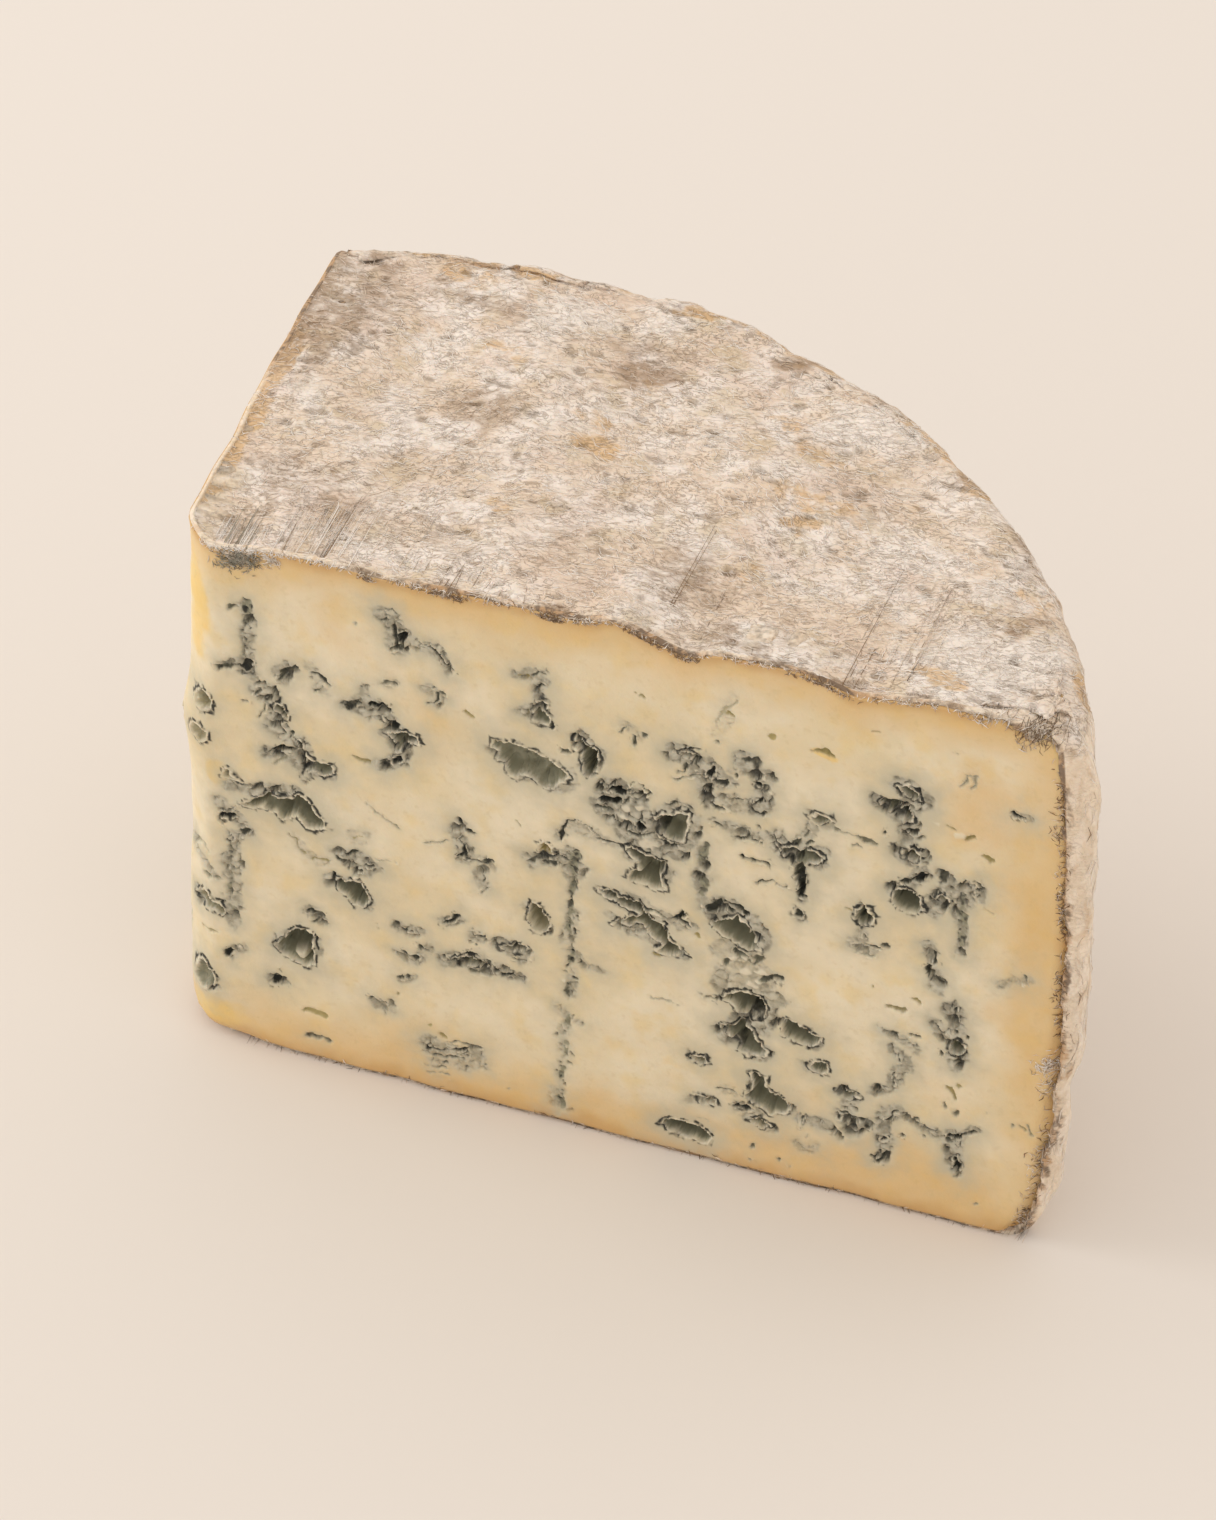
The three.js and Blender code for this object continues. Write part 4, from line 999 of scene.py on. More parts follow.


# What the veins do at each point of a cut: how deep it sinks, how far it swells (its lips painted pale as
# painted highlights), and how much dark it carries (mould, and painted shade under the upper edges of
# openings), grey-green dust and olive.
def veinFields(points, veins):
    pockets, threads, tracks, mould, curds = veins
    flat = np.column_stack([points[:, 0], points[:, 1] * 0, points[:, 1]])
    ragged = veinLook["ragged"]
    size = veinLook["raggedSize"]
    shifted = points + ragged * drift(flat, size, 3, (3, 9))
    rough = fractal(flat, 0.8, 2, 21)
    fine = fractal(flat, 0.6, 2, 23)
    girth = np.clip(0.85 + 0.8 * fractal(flat, 1.8, 2, 61), 0.25, 1.6)
    breaks = fractal(flat, 1.7, 3, 63)
    loose = points + veinLook["loose"] * drift(flat, 2.6, 3, (33, 39))
    crumbs = points * [1, 1.2] + 0.55 * np.column_stack([rough, fractal(flat, 1.2, 2, 83)])
    crevice, lump = crumble(crumbs, veinLook["crumbSize"], 4)
    fields = {name: np.zeros(len(points)) for name in fieldNames}
    fields["near"] = np.full(len(points), 9.0)

    def within(shape, reach):
        shape = np.array(shape, float)
        low, high = shape.min(0) - reach, shape.max(0) + reach
        return np.flatnonzero((points >= low).all(1) & (points <= high).all(1))

    def most(name, picked, values):
        fields[name][picked] = np.maximum(fields[name][picked], values)

    for depth, dark, olive, outline in pockets:
        picked = within(outline, veinLook["pocketReach"])
        if not len(picked):
            continue
        here = shifted[picked]
        distance = outlineDistance(here, outline)
        shape = np.array(outline, float)
        low, high = shape.min(0), shape.max(0)
        rel = (here - low) / (high - low)
        wall = min(0.9, 0.3 * min(high - low))
        inside = smoothStep(-0.08, wall, -distance)
        # The upper part of an opening is painted darker: painted shade cast by the upper edge, on top of
        # the dark mould.
        upper = smoothStep(0.35, 1.05, rel[:, 1] + 0.35 * (rel[:, 0] - 0.5))
        most("sink", picked, depth * inside * (0.86 + 0.2 * rough[picked]))
        # The lip is painted pale, a painted highlight where the edge catches the light, strongest at the
        # upper and right edges.
        weight = np.clip(0.75 + 0.4 * (rel[:, 1] - 0.4) + 0.3 * (rel[:, 0] - 0.4), 0.4, 1)
        lip = swell(distance, veinLook["lipPlace"], veinLook["lipWidth"]) * weight
        most("rise", picked, lip)
        body = smoothStep(0.12, -0.25, distance)
        most("dark", picked, body * dark * (0.22 + 0.78 * upper))
        line = swell(distance, veinLook["linePlace"], veinLook["lineWidth"])
        outlined = (0.5 + 0.6 * weight) * smoothStep(-0.9, 0, rough[picked])
        most("dark", picked, 1.1 * line * outlined * min(1, 0.3 + dark))
        most("olive", picked, body * olive)
        reach = veinLook["haloReach"] * (0.55 + 0.25 * math.sqrt(max(high - low)))
        most("mould", picked, body * (1 - 0.5 * olive))
        most("mould", picked, 0.62 * (1 - 0.6 * olive) * np.exp(-np.maximum(distance, 0) / reach))
        fields["near"][picked] = np.minimum(fields["near"][picked], distance)

    for radius, depth, dark, olive, course in threads:
        picked = within(course, veinLook["threadReach"])
        if not len(picked):
            continue
        distance = courseDistance(shifted[picked], course) - radius * girth[picked]
        body = smoothStep(0.16, -0.16, distance)
        most("sink", picked, depth * smoothStep(0.12, -radius, distance))
        broken = smoothStep(-0.4, 0.3, rough[picked]) * (1 - olive)
        # A pale painted highlight along the thread's edge, where it breaks open.
        most("rise", picked, 0.8 * swell(distance, 0.14, 0.13) * broken)
        most("dark", picked, body * dark)
        most("dark", picked, 0.85 * dark * swell(distance, 0.42, 0.17) * broken * min(1, 3 * radius))
        most("olive", picked, body * olive)
        most("mould", picked, body * (1 - 0.6 * olive))
        reach = 0.6 + 1.6 * radius
        most("mould", picked, 0.5 * (1 - 0.7 * olive) * dark * np.exp(-np.maximum(distance, 0) / reach))
        fields["near"][picked] = np.minimum(fields["near"][picked], distance)

    dice = random.Random(8)
    for radius, dark, course in tracks:
        picked = within(course, veinLook["trackReach"])
        if not len(picked):
            continue
        distance = courseDistance(shifted[picked], course) - radius * girth[picked]
        body = smoothStep(0.25, -0.3, distance) * smoothStep(-0.55, 0.1, breaks[picked])
        speckled = smoothStep(-0.25, 0.25, fine[picked])
        most("sink", picked, 0.7 * body * (0.6 + 0.4 * rough[picked]))
        most("dark", picked, body * dark * (0.3 + 0.9 * speckled))
        most("mould", picked, body * 0.9)
        most("mould", picked, 0.5 * np.exp(-np.maximum(distance, 0) / 1.1))
        fields["near"][picked] = np.minimum(fields["near"][picked], distance)
        for first, last in zip(course, course[1:]):
            steps = max(1, int(math.dist(first, last) / trackSpeck["spacing"]))
            for i in range(steps):
                share = (i + dice.random()) / steps
                aside = dice.gauss(0, trackSpeck["scatter"])
                spot = [(first[0] + (last[0] - first[0]) * share + aside,
                         first[1] + (last[1] - first[1]) * share)]
                close = within(spot, 1.2)
                size = trackSpeck["radius"] * dice.uniform(0.6, 1.3)
                gap = courseDistance(shifted[close], spot) - size
                most("dark", close, smoothStep(0.14, -0.14, gap) * dice.uniform(0.5, 1))
                most("sink", close, trackSpeck["depth"] * smoothStep(0.1, -0.2, gap))

    for radius, amount, course in mould:
        picked = within(course, veinLook["mouldReach"])
        if not len(picked):
            continue
        distance = courseDistance(loose[picked], course) - radius
        body = smoothStep(0.45, -0.5, distance) * amount
        most("zone", picked, body)
        most("mould", picked, 0.72 * amount * np.exp(-np.maximum(distance, 0) / 2))
        fields["near"][picked] = np.minimum(fields["near"][picked], distance + 0.35)
    zone = fields["zone"]
    crack = smoothStep(0.2, 0.03, crevice) * smoothStep(-0.5, 0.3, rough) * zone
    hollow = smoothStep(0.78, 0.84, lump) * smoothStep(0.02, 0.2, crevice) * smoothStep(0.35, 0.75, zone)
    fields["sink"] = np.maximum(fields["sink"], 0.6 * crack + 1.2 * hollow + 0.15 * zone)
    fields["dark"] = np.maximum(fields["dark"], np.maximum(0.9 * crack, 0.75 * hollow))
    raised = smoothStep(0.1, 0.6, crevice) * (0.3 + 0.7 * lump) * zone * (1 - hollow)
    fields["rise"] = np.maximum(fields["rise"], 0.8 * raised)

    for along, up, width, height, rise in curds:
        gap = np.hypot((shifted[:, 0] - along) / width, (shifted[:, 1] - up) / height)
        cap = smoothStep(1.15, 0.35, gap)
        fields["sink"] = fields["sink"] * (1 - 0.75 * cap) - rise * 0.3 * cap
        fields["dark"] = fields["dark"] * (1 - 0.85 * cap)
        fields["rise"] = np.maximum(fields["rise"], 0.8 * cap)
    return fields


# How far from the nose a point lies, along the left cut.
def leftAlong(points):
    way = np.array([math.cos(wedge["leftCutAngle"]), math.sin(wedge["leftCutAngle"])])
    return points[:, :2] @ way


frontVeins = (frontPockets, frontThreads, frontTracks, frontMould, frontCurds)
leftVeins = inventVeins()


def cutFields(points, turn):
    onFront = ((turn >= 0) & (turn < 1)) | (turn > 3.9)
    onLeft = (turn > 3) & (leftAlong(points) > 4)
    total = {name: np.zeros(len(points)) for name in (*fieldNames, "near")}
    total["near"] += 9
    for picked, flat, veins in (
        (onLeft, np.column_stack([leftAlong(points), points[:, 2]]), leftVeins),
        (onFront, points[:, [0, 2]], frontVeins),
    ):
        found = veinFields(flat[picked], veins)
        for name in total:
            keep = np.minimum if name == "near" else np.maximum
            total[name][picked] = keep(total[name][picked], found[name])
    return total


# The paste: the cheese itself. It shows at the two cuts and lies just under the rind elsewhere.
pasteLook = {
    "cells": (42, 21, 30),
    "underRind": 1.3,
    "underTop": 1.1,
    "underTopAtCut": 0.42,
    "aboveFoot": 0.35,
    "setBack": 0.2,
    "leftmost": -5.9,
    "foremost": 0.03,
    "cornerRecess": 0.4,
    "reach": 99.5,
    "rindStart": 0.965,
    "waver": 0.16,
    "waverSize": 5.5,
    "grain": 0.035,
    "grainSize": 0.9,
}
# Warmer and yellower places in the front cut: along, up, half-width, half-height, amount.
goldPatches = [
    (120, 46, 8, 36, 0.75), (100, 3, 30, 9, 1), (113, 76, 10, 10, 0.6), (66, 4, 34, 6, 0.75),
    (32, 5, 14, 9, 0.7), (24, 82, 14, 9, 0.4), (60, 86, 60, 5, 0.35), (34, 68, 7, 12, 0.35),
    (84, 12, 12, 7, 0.5), (66, 16, 9, 8, 0.3), (108, 26, 12, 10, 0.3), (-2, 58, 5, 9, 0.4),
    (104, 7, 18, 8, 0.8),
]
yellowPatches = [
    (0.8, 78, 3.2, 12, 1), (3.4, 49.4, 2.6, 2, 0.9), (1, 4.6, 6, 3.6, 0.8), (8.6, 75, 3, 4, 0.35),
    (89.8, 78.2, 2.2, 0.9, 1), (112, 62, 5, 4, 0.5), (70, 17, 4, 3, 0.4), (38, 10, 5, 3, 0.4),
    (104, 80, 6, 3, 0.4),
]


def warmth(points, patches, seed):
    places = points[:, [0, 2]] + 1.6 * drift(points, 5, 3, (seed, seed + 4))
    return patchwork(places, patches, 1.4, 0.3) * smoothStep(6, 1, points[:, 1])


# How far in the paste lies, under the rind of the side.
def pasteRecess(turn, height, top):
    strip = smoothStep(pasteLook["rindStart"], pasteLook["rindStart"] + 0.012, turn)
    atCorner = smoothStep(78, 86, height) * smoothStep(1.5, 1.2, turn)
    depth = pasteLook["underRind"] + pasteLook["cornerRecess"] * atCorner
    return strip * (1 - smoothStep(2.985, 3.0, turn)) * depth


# How far under the top the paste lies, less at the cuts.
def pasteDrop(along, back):
    inside = smoothStep(1.2, 4, np.minimum(back, along + 0.04 * back))
    return pasteLook["underTopAtCut"] + (pasteLook["underTop"] - pasteLook["underTopAtCut"]) * inside


def layPaste(unit):
    return layOut(unit, pasteRecess, pasteDrop, pasteLook["aboveFoot"])


def isCut(turn):
    return ((turn >= 0) & (turn <= 0.985)) | (turn >= 3.01)


# A rule that picks what lies closer than this to a vein.
def closerThan(reach, alsoLeft=True):
    def rule(points, turn):
        near = np.full(len(points), 99.0)
        picked = isCut(turn) & (alsoLeft | (turn < 2) | (turn > 3.94))
        near[picked] = cutFields(points[picked], turn[picked])["near"]
        return near < reach
    return rule


def makePaste(material):
    rules = [
        lambda points, turn: isCut(turn),
        lambda points, turn: isCut(turn) & (turn < 2),
        closerThan(0.8),
        closerThan(0.16, False),
    ]
    mesh, points, turn = laidMesh("cheese_paste", pasteLook["cells"], rules, layPaste)
    normals = readVectors(mesh, "normal")
    cut = isCut(turn)
    fields = {name: np.zeros(len(points)) for name in fieldNames}
    found = cutFields(points[cut], turn[cut])
    for name in fields:
        fields[name][cut] = found[name]
    below = topHeight(points[:, 0], points[:, 1]) - points[:, 2]
    fromSide = pasteLook["reach"] - fromAxis(points)
    edge = np.minimum(np.minimum(below, points[:, 2]), fromSide)
    fields["sink"] *= smoothStep(0.2, 3, edge)
    tinted = np.minimum(np.minimum(1.4 * below, points[:, 2]), 0.9 * fromSide)
    swing = pasteLook["waver"] * fractal(points, pasteLook["waverSize"], 3, 2)
    grain = pasteLook["grain"] * fractal(points, pasteLook["grainSize"], 2, 6)
    lift = (swing + grain + veinLook["lipHeight"] * fields["rise"]) * smoothStep(0.2, 2, edge)
    lift = lift - pasteLook["setBack"] * smoothStep(0.2, 2, edge)
    outward = np.minimum(lift, 0.2 * fields["rise"]) - fields["sink"]
    points = points + normals * (outward * cut)[:, None]
    points = np.maximum(points, [pasteLook["leftmost"], pasteLook["foremost"], 0])
    writePoints(mesh, toPart(points))
    attributes = {name: fields[name] for name in ("dark", "mould", "olive", "rise", "zone")}
    attributes["rindEdge"] = np.clip(tinted, 0, 30) / 30
    attributes["gold"] = warmth(points, goldPatches, 171)
    attributes["yellow"] = warmth(points, yellowPatches, 181)
    return addPiece("cheese_paste", mesh, material, attributes)


# The rind: a skin over the top, the curved side and the foot. Its edge shows along both cuts.
rindLook = {
    "cells": (40, 20, 30),
    "hiddenDepth": 2.6,
    "behindPockets": 5.2,
    "crustDepth": 0.55,
    "crustRagged": 0.6,
    "highest": 92.55,
    "rearmost": 70.6,
    "topSunk": 0.12,
    "sideSunk": 0.3,
    "mostRelief": 0.45,
    "footCrust": 0.3,
    "stripRagged": 0.55,
    "rearStrip": 61.5,
    "rimReach": 100.5,
}
# Where the rind hangs lower over the front cut: along, half-width, how much lower.
crustLobes = [
    (8.6, 2.6, 2), (13.1, 1.1, 1.5), (26, 1.5, 0.3), (37.5, 2, 0.6), (53, 1.6, 0.9), (66, 4, 0.6),
    (71, 1.5, 0.4), (88.5, 2, 0.5), (93, 2, 1), (115.4, 1.2, 0.8), (118.5, 2.4, 2.2),
]
# The line in the front cut where the rind of the side begins: up, along.
stripHeights = [0, 13, 24, 37, 60, 84, 92]
stripPlaces = [118.6, 120.8, 122.5, 123, 122.8, 122, 119.5]


def crustDepth(along, spots):
    depth = rindLook["crustDepth"] + np.maximum(0, rindLook["crustRagged"] * fractal(spots, 2.2, 4, 31))
    for centre, width, extra in crustLobes:
        depth = depth + extra * swell(along, centre, width)
    return depth


def upright(height):
    return np.column_stack([height * 0, height * 0, height])


# Where along the front cut the rind of the side begins, at a height.
def stripStart(height):
    ragged = rindLook["stripRagged"] * fractal(upright(height), 3.2, 4, 41)
    return np.interp(height, stripHeights, stripPlaces) + ragged


# How far in the rind lies: nothing where it shows, and deep under the paste at the cuts.
def rindRecess(turn, height, top):
    crown = outlineAt(turn, np.full(len(turn), wedge["height"]))
    spots = np.column_stack([crown, height * 0])
    depth = crustDepth(np.where(crown[:, 1] < 5, crown[:, 0], -99), spots)
    hidden = smoothStep(depth - 0.12, depth + 0.12, top - height)
    foot = rindLook["footCrust"] + 0.3 * lumps(spots, 2, 37)
    hidden = hidden * smoothStep(foot - 0.1, foot + 0.1, height)
    place = outlineAt(turn, height)
    start = stripStart(height)
    along = np.where(turn < 1.5, place[:, 0], 0)
    hidden = hidden * (1 - smoothStep(start - 0.15, start + 0.15, along))
    rear = rindLook["rearStrip"] - (1.6 + 0.5 * fractal(upright(height), 3.2, 3, 43))
    behind = np.where(turn > 2.5, place[:, 1], 0)
    hidden = hidden * (1 - smoothStep(rear - 0.15, rear + 0.15, behind))
    cut = np.where((turn < 0.99) | (turn > 2.95), 1, 0)
    # Away from the ends of a cut it lies deeper, so that it doesn't show in the openings of the veins.
    amid = smoothStep(0.12, 0.3, np.sin(math.pi * np.mod(turn, 1)))
    return hidden * cut * (rindLook["hiddenDepth"] + rindLook["behindPockets"] * amid)


def layRind(unit):
    return layOut(unit, rindRecess)


def onShownRind(points, turn):
    side = (turn > 0.96) & (turn < 3.04)
    edgeOfCut = (turn >= 0) & ((points[:, 2] > 84) | (points[:, 2] < 2))
    return (turn == -1) | side | edgeOfCut


def onFinestRind(points, turn):
    strip = (turn > 0.93) & (turn < 1.06)
    edgeOfCut = (turn >= 0) & (turn < 1) & (points[:, 2] > 84)
    return (turn == -1) | strip | edgeOfCut


# Tones of the top of the rind: along, back, half-width, half-depth, how strong.
brownPatches = [
    (5, 52, 7, 12, 0.7), (3, 44, 3, 14, 0.7), (47, 50, 6, 4, 0.9), (28, 38, 8, 4, 0.6),
    (11, 16, 8, 5, 0.55), (32, 12, 9, 7, 0.4), (64, 15, 5, 5, 0.6), (76, 3, 8, 3, 0.6),
    (20, 58, 9, 3, 0.6), (45, 56, 8, 2.5, 0.6), (66, 60, 6, 1.5, 0.9), (15, 12, 14, 5, 0.45),
    (48, 12, 9, 6, 0.35), (68, 12, 8, 6, 0.45), (82, 8, 8, 4, 0.3), (110, 20, 3, 3, 0.8),
    (93, 44, 4, 4, 0.6), (84, 34, 8, 5, 0.4), (105, 36, 2, 2, 0.7), (8, 7, 6, 4, 0.4),
    (40, 44, 12, 4, 0.3), (55, 26, 10, 4, 0.3), (4, 62, 4, 3, 0.7),
]
tanPatches = [
    (44, 35, 5, 3, 0.8), (76, 33, 7, 5, 0.6), (77, 27, 2, 1.6, 0.9), (103, 7, 5, 3, 0.8),
    (68, 47, 4, 2, 0.6), (74, 43, 6, 2.5, 0.5), (88, 37, 3, 2.5, 0.4), (50, 66, 6, 1.5, 0.9),
    (20, 67, 9, 2, 0.9), (37, 18, 2, 2, 0.6), (73, 17, 3, 2, 0.4), (66, 59, 5, 2, 0.5),
    (110, 26, 3, 5, 0.5), (94, 43, 2, 2.5, 0.6), (27, 48, 8, 4, 0.5), (17, 63, 6, 3, 0.6),
    (42, 40, 4, 3, 0.5), (49, 47, 4, 3, 0.5), (80, 32, 4, 3, 0.5),
]
whitePatches = [
    (32, 60, 9, 5, 0.8), (45, 62, 5, 3, 0.7), (78, 51, 8, 4, 0.8), (60, 42, 6, 4, 0.5),
    (12, 26, 9, 4, 0.4), (30, 28, 8, 4, 0.4), (92, 26, 9, 4, 0.5), (110, 12, 10, 8, 0.85),
    (17, 48, 5, 4, 0.5), (104, 24, 5, 4, 0.7),
    (38, 7, 8, 3, 0.6), (97, 38, 5, 3, 0.4), (68, 36, 4, 3, 0.4), (18, 36, 4, 3, 0.4),
    (90, 20, 8, 4, 0.4), (115, 8, 5, 5, 0.5),
]
# How brown the top is along its front edge: along, amount.
frontBrownPlaces = [
    0, 22, 26, 30, 34, 37, 40, 44, 49, 52, 56, 60, 65, 70, 74, 80, 86, 90, 95, 100, 112, 120,
]
frontBrownAmounts = [
    0.1, 0.1, 0.6, 0.3, 0.5, 1, 0.9, 0.4, 0.5, 1, 0.8, 0.3, 0.8, 1, 0.5, 0.5, 0.6, 1, 0.8, 0.4, 0.5, 0.9,
]


def patched(points, patches, seed):
    places = points[:, :2] + 2.6 * drift(points, 6, 4, (seed, seed + 5))
    return patchwork(places, patches, 1.35, 0.35)


# Where the rind is brown, tan and white.
def rindTones(points, onTop):
    tones = {
        "brown": patched(points, brownPatches, 101) * onTop,
        "tan": patched(points, tanPatches, 111) * onTop,
        "white": patched(points, whitePatches, 121) * onTop,
    }
    along, back, up = points.T

    def most(name, amount):
        tones[name] = np.maximum(tones[name], amount)

    def cloud(low, high, size, octaves, seed):
        return smoothStep(low, high, fractal(points, size, octaves, seed))

    uneven = fractal(points, 2.6, 3, 131)
    front = smoothStep(2.4, 0.2, back + 0.9 * uneven)
    most("brown", front * np.interp(along, frontBrownPlaces, frontBrownAmounts))
    left = smoothStep(4.2, 1.2, along + 1.3 * uneven + 0.04 * back)
    most("brown", 0.8 * left * smoothStep(28, 40, back))
    most("tan", left * (smoothStep(50, 36, back) * smoothStep(3, 9, back)))
    rimGap = rindLook["rimReach"] - fromAxis(points)
    rim = smoothStep(3.6, 1.4, rimGap + 0.8 * uneven) * smoothStep(84, 89, up)
    most("tan", 0.9 * rim * cloud(-0.15, 0.35, 9, 2, 141))
    most("brown", 0.6 * rim * cloud(0, 0.5, 5, 2, 147))
    away = (1 - onTop) * smoothStep(6, 22, back)
    most("brown", 0.5 * away * cloud(0, 0.6, 17, 3, 191))
    most("tan", 0.6 * away * cloud(0.25, 0.7, 13, 3, 197))
    most("white", 0.5 * (1 - onTop) * cloud(0, 0.6, 15, 3, 193))
    return tones


# flatness is 1 where the rind faces up and 0 on its upright side.
def rindRelief(points, flatness):
    broad = 0.28 * fractal(points, 8, 2, 51)
    across = points * [0.55, 1, 1]
    tall = points * [1, 1, 0.4]
    ridges = 0.24 * fractal(across, 2.6, 3, 57) + 0.1 * fractal(across, 0.9, 2, 67)
    folds = 0.34 * fractal(tall, 2.8, 3, 57) + 0.12 * fractal(tall, 1.1, 2, 67)
    pits = smoothStep(0.5, 0.8, fractal(across, 1.5, 2, 71)) * flatness
    pits = pits + 0.8 * smoothStep(0.55, 0.85, fractal(tall, 1.9, 2, 73)) * (1 - flatness)
    return broad + ridges * flatness + folds * (1 - flatness) - 0.3 * pits, pits


def makeRind(material):
    rules = [onShownRind, onShownRind, onFinestRind]
    mesh, points, turn = laidMesh("cheese_rind", rindLook["cells"], rules, layRind)
    normals = readVectors(mesh, "normal")
    flatness = smoothStep(0.35, 0.95, normals[:, 2])
    relief, pits = rindRelief(points, flatness)
    onCut = ((turn >= 0) & (turn < 0.97)) | (turn > 3.03)
    upper = smoothStep(86.5, 88.5, points[:, 2])
    onTop = upper * (1 - onCut)
    tones = rindTones(points, upper)
    relief = relief + 0.15 * tones["white"] - 0.2 * tones["tan"]
    toCut = np.minimum(points[:, 1], points[:, 0] + 2 + 0.04 * points[:, 1])
    most = rindLook["mostRelief"] * (0.4 + 0.6 * smoothStep(0.5, 4.5, toCut))
    relief = most * np.tanh(relief / most)
    relief = relief - rindLook["sideSunk"] + (rindLook["sideSunk"] - rindLook["topSunk"]) * flatness
    onSide = smoothStep(0.93, 0.985, turn) * smoothStep(3.06, 3.01, turn)
    amount = np.where(turn == -1, 1.0, np.where(turn == -2, 0.25, 0.3 + 0.7 * onSide))
    amount = amount * smoothStep(-0.5, 3, points[:, 2])
    points = points + normals * (relief * amount)[:, None]
    points[:, 2] = np.clip(points[:, 2], 0, rindLook["highest"])
    points[:, 1] = np.minimum(points[:, 1], rindLook["rearmost"])
    writePoints(mesh, toPart(points))
    beyond = points[:, 0] - stripStart(points[:, 2])
    barkEdge = beyond + 0.7 * fractal(points, 1.3, 3, 151)
    bark = smoothStep(2, 0.6, barkEdge) * smoothStep(-1.5, -0.6, beyond)
    bark = bark * smoothStep(88, 84, points[:, 2]) * (points[:, 1] < 3)
    bark = bark * (0.6 + 0.4 * lumps(points, 4, 157))
    attributes = {"bark": bark, "crust": onCut * 1.0, "side": 1 - onTop, "pits": pits, **tones}
    return addPiece("cheese_rind", mesh, material, attributes)


# The felt of the mould on the rind: short fibres that lie on it, and tufts at the edges of the cuts.
feltLook = {
    "seed": 17,
    "topCount": 8100,
    "sideCount": 3150,
    "topLength": (0.9, 2.6),
    "sideLength": (1.6, 4.2),
    "tuftLength": (0.5, 1.4),
    "tuftDepth": (0.1, 0.45),
    "thickness": (0.04, 0.095),
    "loft": 0.16,
    "bend": 0.22,
    "lowest": 0.02,
    "highest": 92.64,
    "rearmost": 70.66,
    "rightmost": 126.8,
}
# Tufts at the top edge of the front cut: along, how far below the edge, half-width, half-height,
# how many fibres, how brown, how blue.
edgeTufts = [
    (8.4, 2.2, 2.8, 1.7, 330, 0.6, 1), (8, 0.4, 5, 0.4, 130, 0.05, 0.15),
    (13.2, 1.6, 1, 1, 60, 0.15, 0.1), (18, 0.3, 5, 0.35, 90, 0.15, 0),
    (26.5, 0.8, 1.2, 0.5, 45, 0.8, 0.1), (33, 0.4, 3, 0.3, 50, 0.5, 0),
    (38, 0.7, 2.2, 0.5, 110, 1, 0), (45, 0.4, 4, 0.3, 60, 0.6, 0),
    (52.4, 0.8, 1.6, 0.5, 90, 1, 0), (57, 0.5, 3, 0.3, 60, 0.6, 0),
    (65, 0.6, 3, 0.4, 90, 0.9, 0), (71, 0.7, 1.6, 0.4, 60, 1, 0),
    (79, 0.4, 5, 0.3, 70, 0.6, 0), (90, 0.7, 3.4, 0.4, 120, 0.95, 0),
    (101, 0.4, 6, 0.3, 80, 0.4, 0), (112, 0.6, 3, 0.6, 70, 0.5, 0),
    (118.6, 1.8, 2.2, 1.4, 210, 0.9, 0.15),
]
# Tufts where the rind of the side meets the front cut: up, how far inside it, the rest as above.
stripTufts = [
    (33, 1.4, 1.5, 1.7, 120, 0.25, 0), (29, 0.6, 1, 2, 40, 0.6, 0), (14, 0.5, 1.1, 8, 130, 0.55, 0),
    (3, 0.2, 1, 2.4, 60, 0.6, 0), (46, 0, 0.6, 9, 110, 0.9, 0), (62, 0, 0.6, 8, 110, 0.95, 0),
    (77, 0.2, 0.7, 6, 90, 0.9, 0),
]
# The thin crust at the foot of the front cut: from, to, how high, how many fibres, how brown.
footFringe = (3, 119, 0.45, 260, 0.75)


# One fibre two units long that tapers at its ends.
def fibreShape():
    shape = bmesh.new()
    bmesh.ops.create_cone(shape, cap_ends=True, segments=3, radius1=1, radius2=1, depth=2)
    along = [edge for edge in shape.edges if abs(edge.verts[0].co.z - edge.verts[1].co.z) > 1]
    bmesh.ops.subdivide_edges(shape, edges=along, cuts=1)
    bmesh.ops.recalc_face_normals(shape, faces=shape.faces)
    shape.verts.index_update()
    corners = np.array([vert.co[:] for vert in shape.verts])
    corners[:, :2] *= (1 - 0.7 * np.abs(corners[:, 2]))[:, None]
    faces = [[vert.index for vert in face.verts] for face in shape.faces]
    shape.free()
    return corners, faces


def unit(vectors):
    return vectors / np.linalg.norm(vectors, axis=1)[:, None]


# Where a line straight into the front cut first meets the cheese, for each of these points.
def metFromFront(points, tree):
    met = points.copy()
    for i, (along, back, up) in enumerate(points):
        hit = tree.ray_cast(Vector((along, -5, up)), Vector((0, 1, 0)), 30)[0]
        if hit:
            met[i, 1] = hit[1] - 0.25 + 0.5 * back
    return met


# Fibres with their middles at these points, along these headings, pressed onto the ground if given.
def fibrePaths(dice, points, headings, normals, lengths, ground):
    count = len(points)
    sideways = unit(np.cross(normals, headings))
    bend = feltLook["bend"] * lengths * dice.normal(size=count)
    path = np.empty((count, 3, 3))
    for i, place in enumerate((-0.5, 0, 0.5)):
        path[:, i] = points + headings * (lengths * place)[:, None]
        path[:, i] += sideways * (bend * (0.5 if i == 1 else -0.25))[:, None]
    if ground:
        loft = feltLook["loft"] * dice.random((count, 3)) ** 2
        for i in range(3):
            found = [ground.find_nearest(Vector(place)) for place in path[:, i]]
            spots, normals = (np.array([hit[j] for hit in found]) for j in (0, 1))
            path[:, i] = spots + normals * loft[:, i, None]
    return path, sideways


# All the triangles of these pieces, in which the nearest place or the first one met can be found.
def treeOf(*pieces):
    points = []
    corners = []
    for piece in pieces:
        corners.append(readCorners(piece.data) + sum(len(part) for part in points))
        points.append(fromPart(readVectors(piece.data)))
    return BVHTree.FromPolygons(np.concatenate(points).tolist(), np.concatenate(corners).tolist())


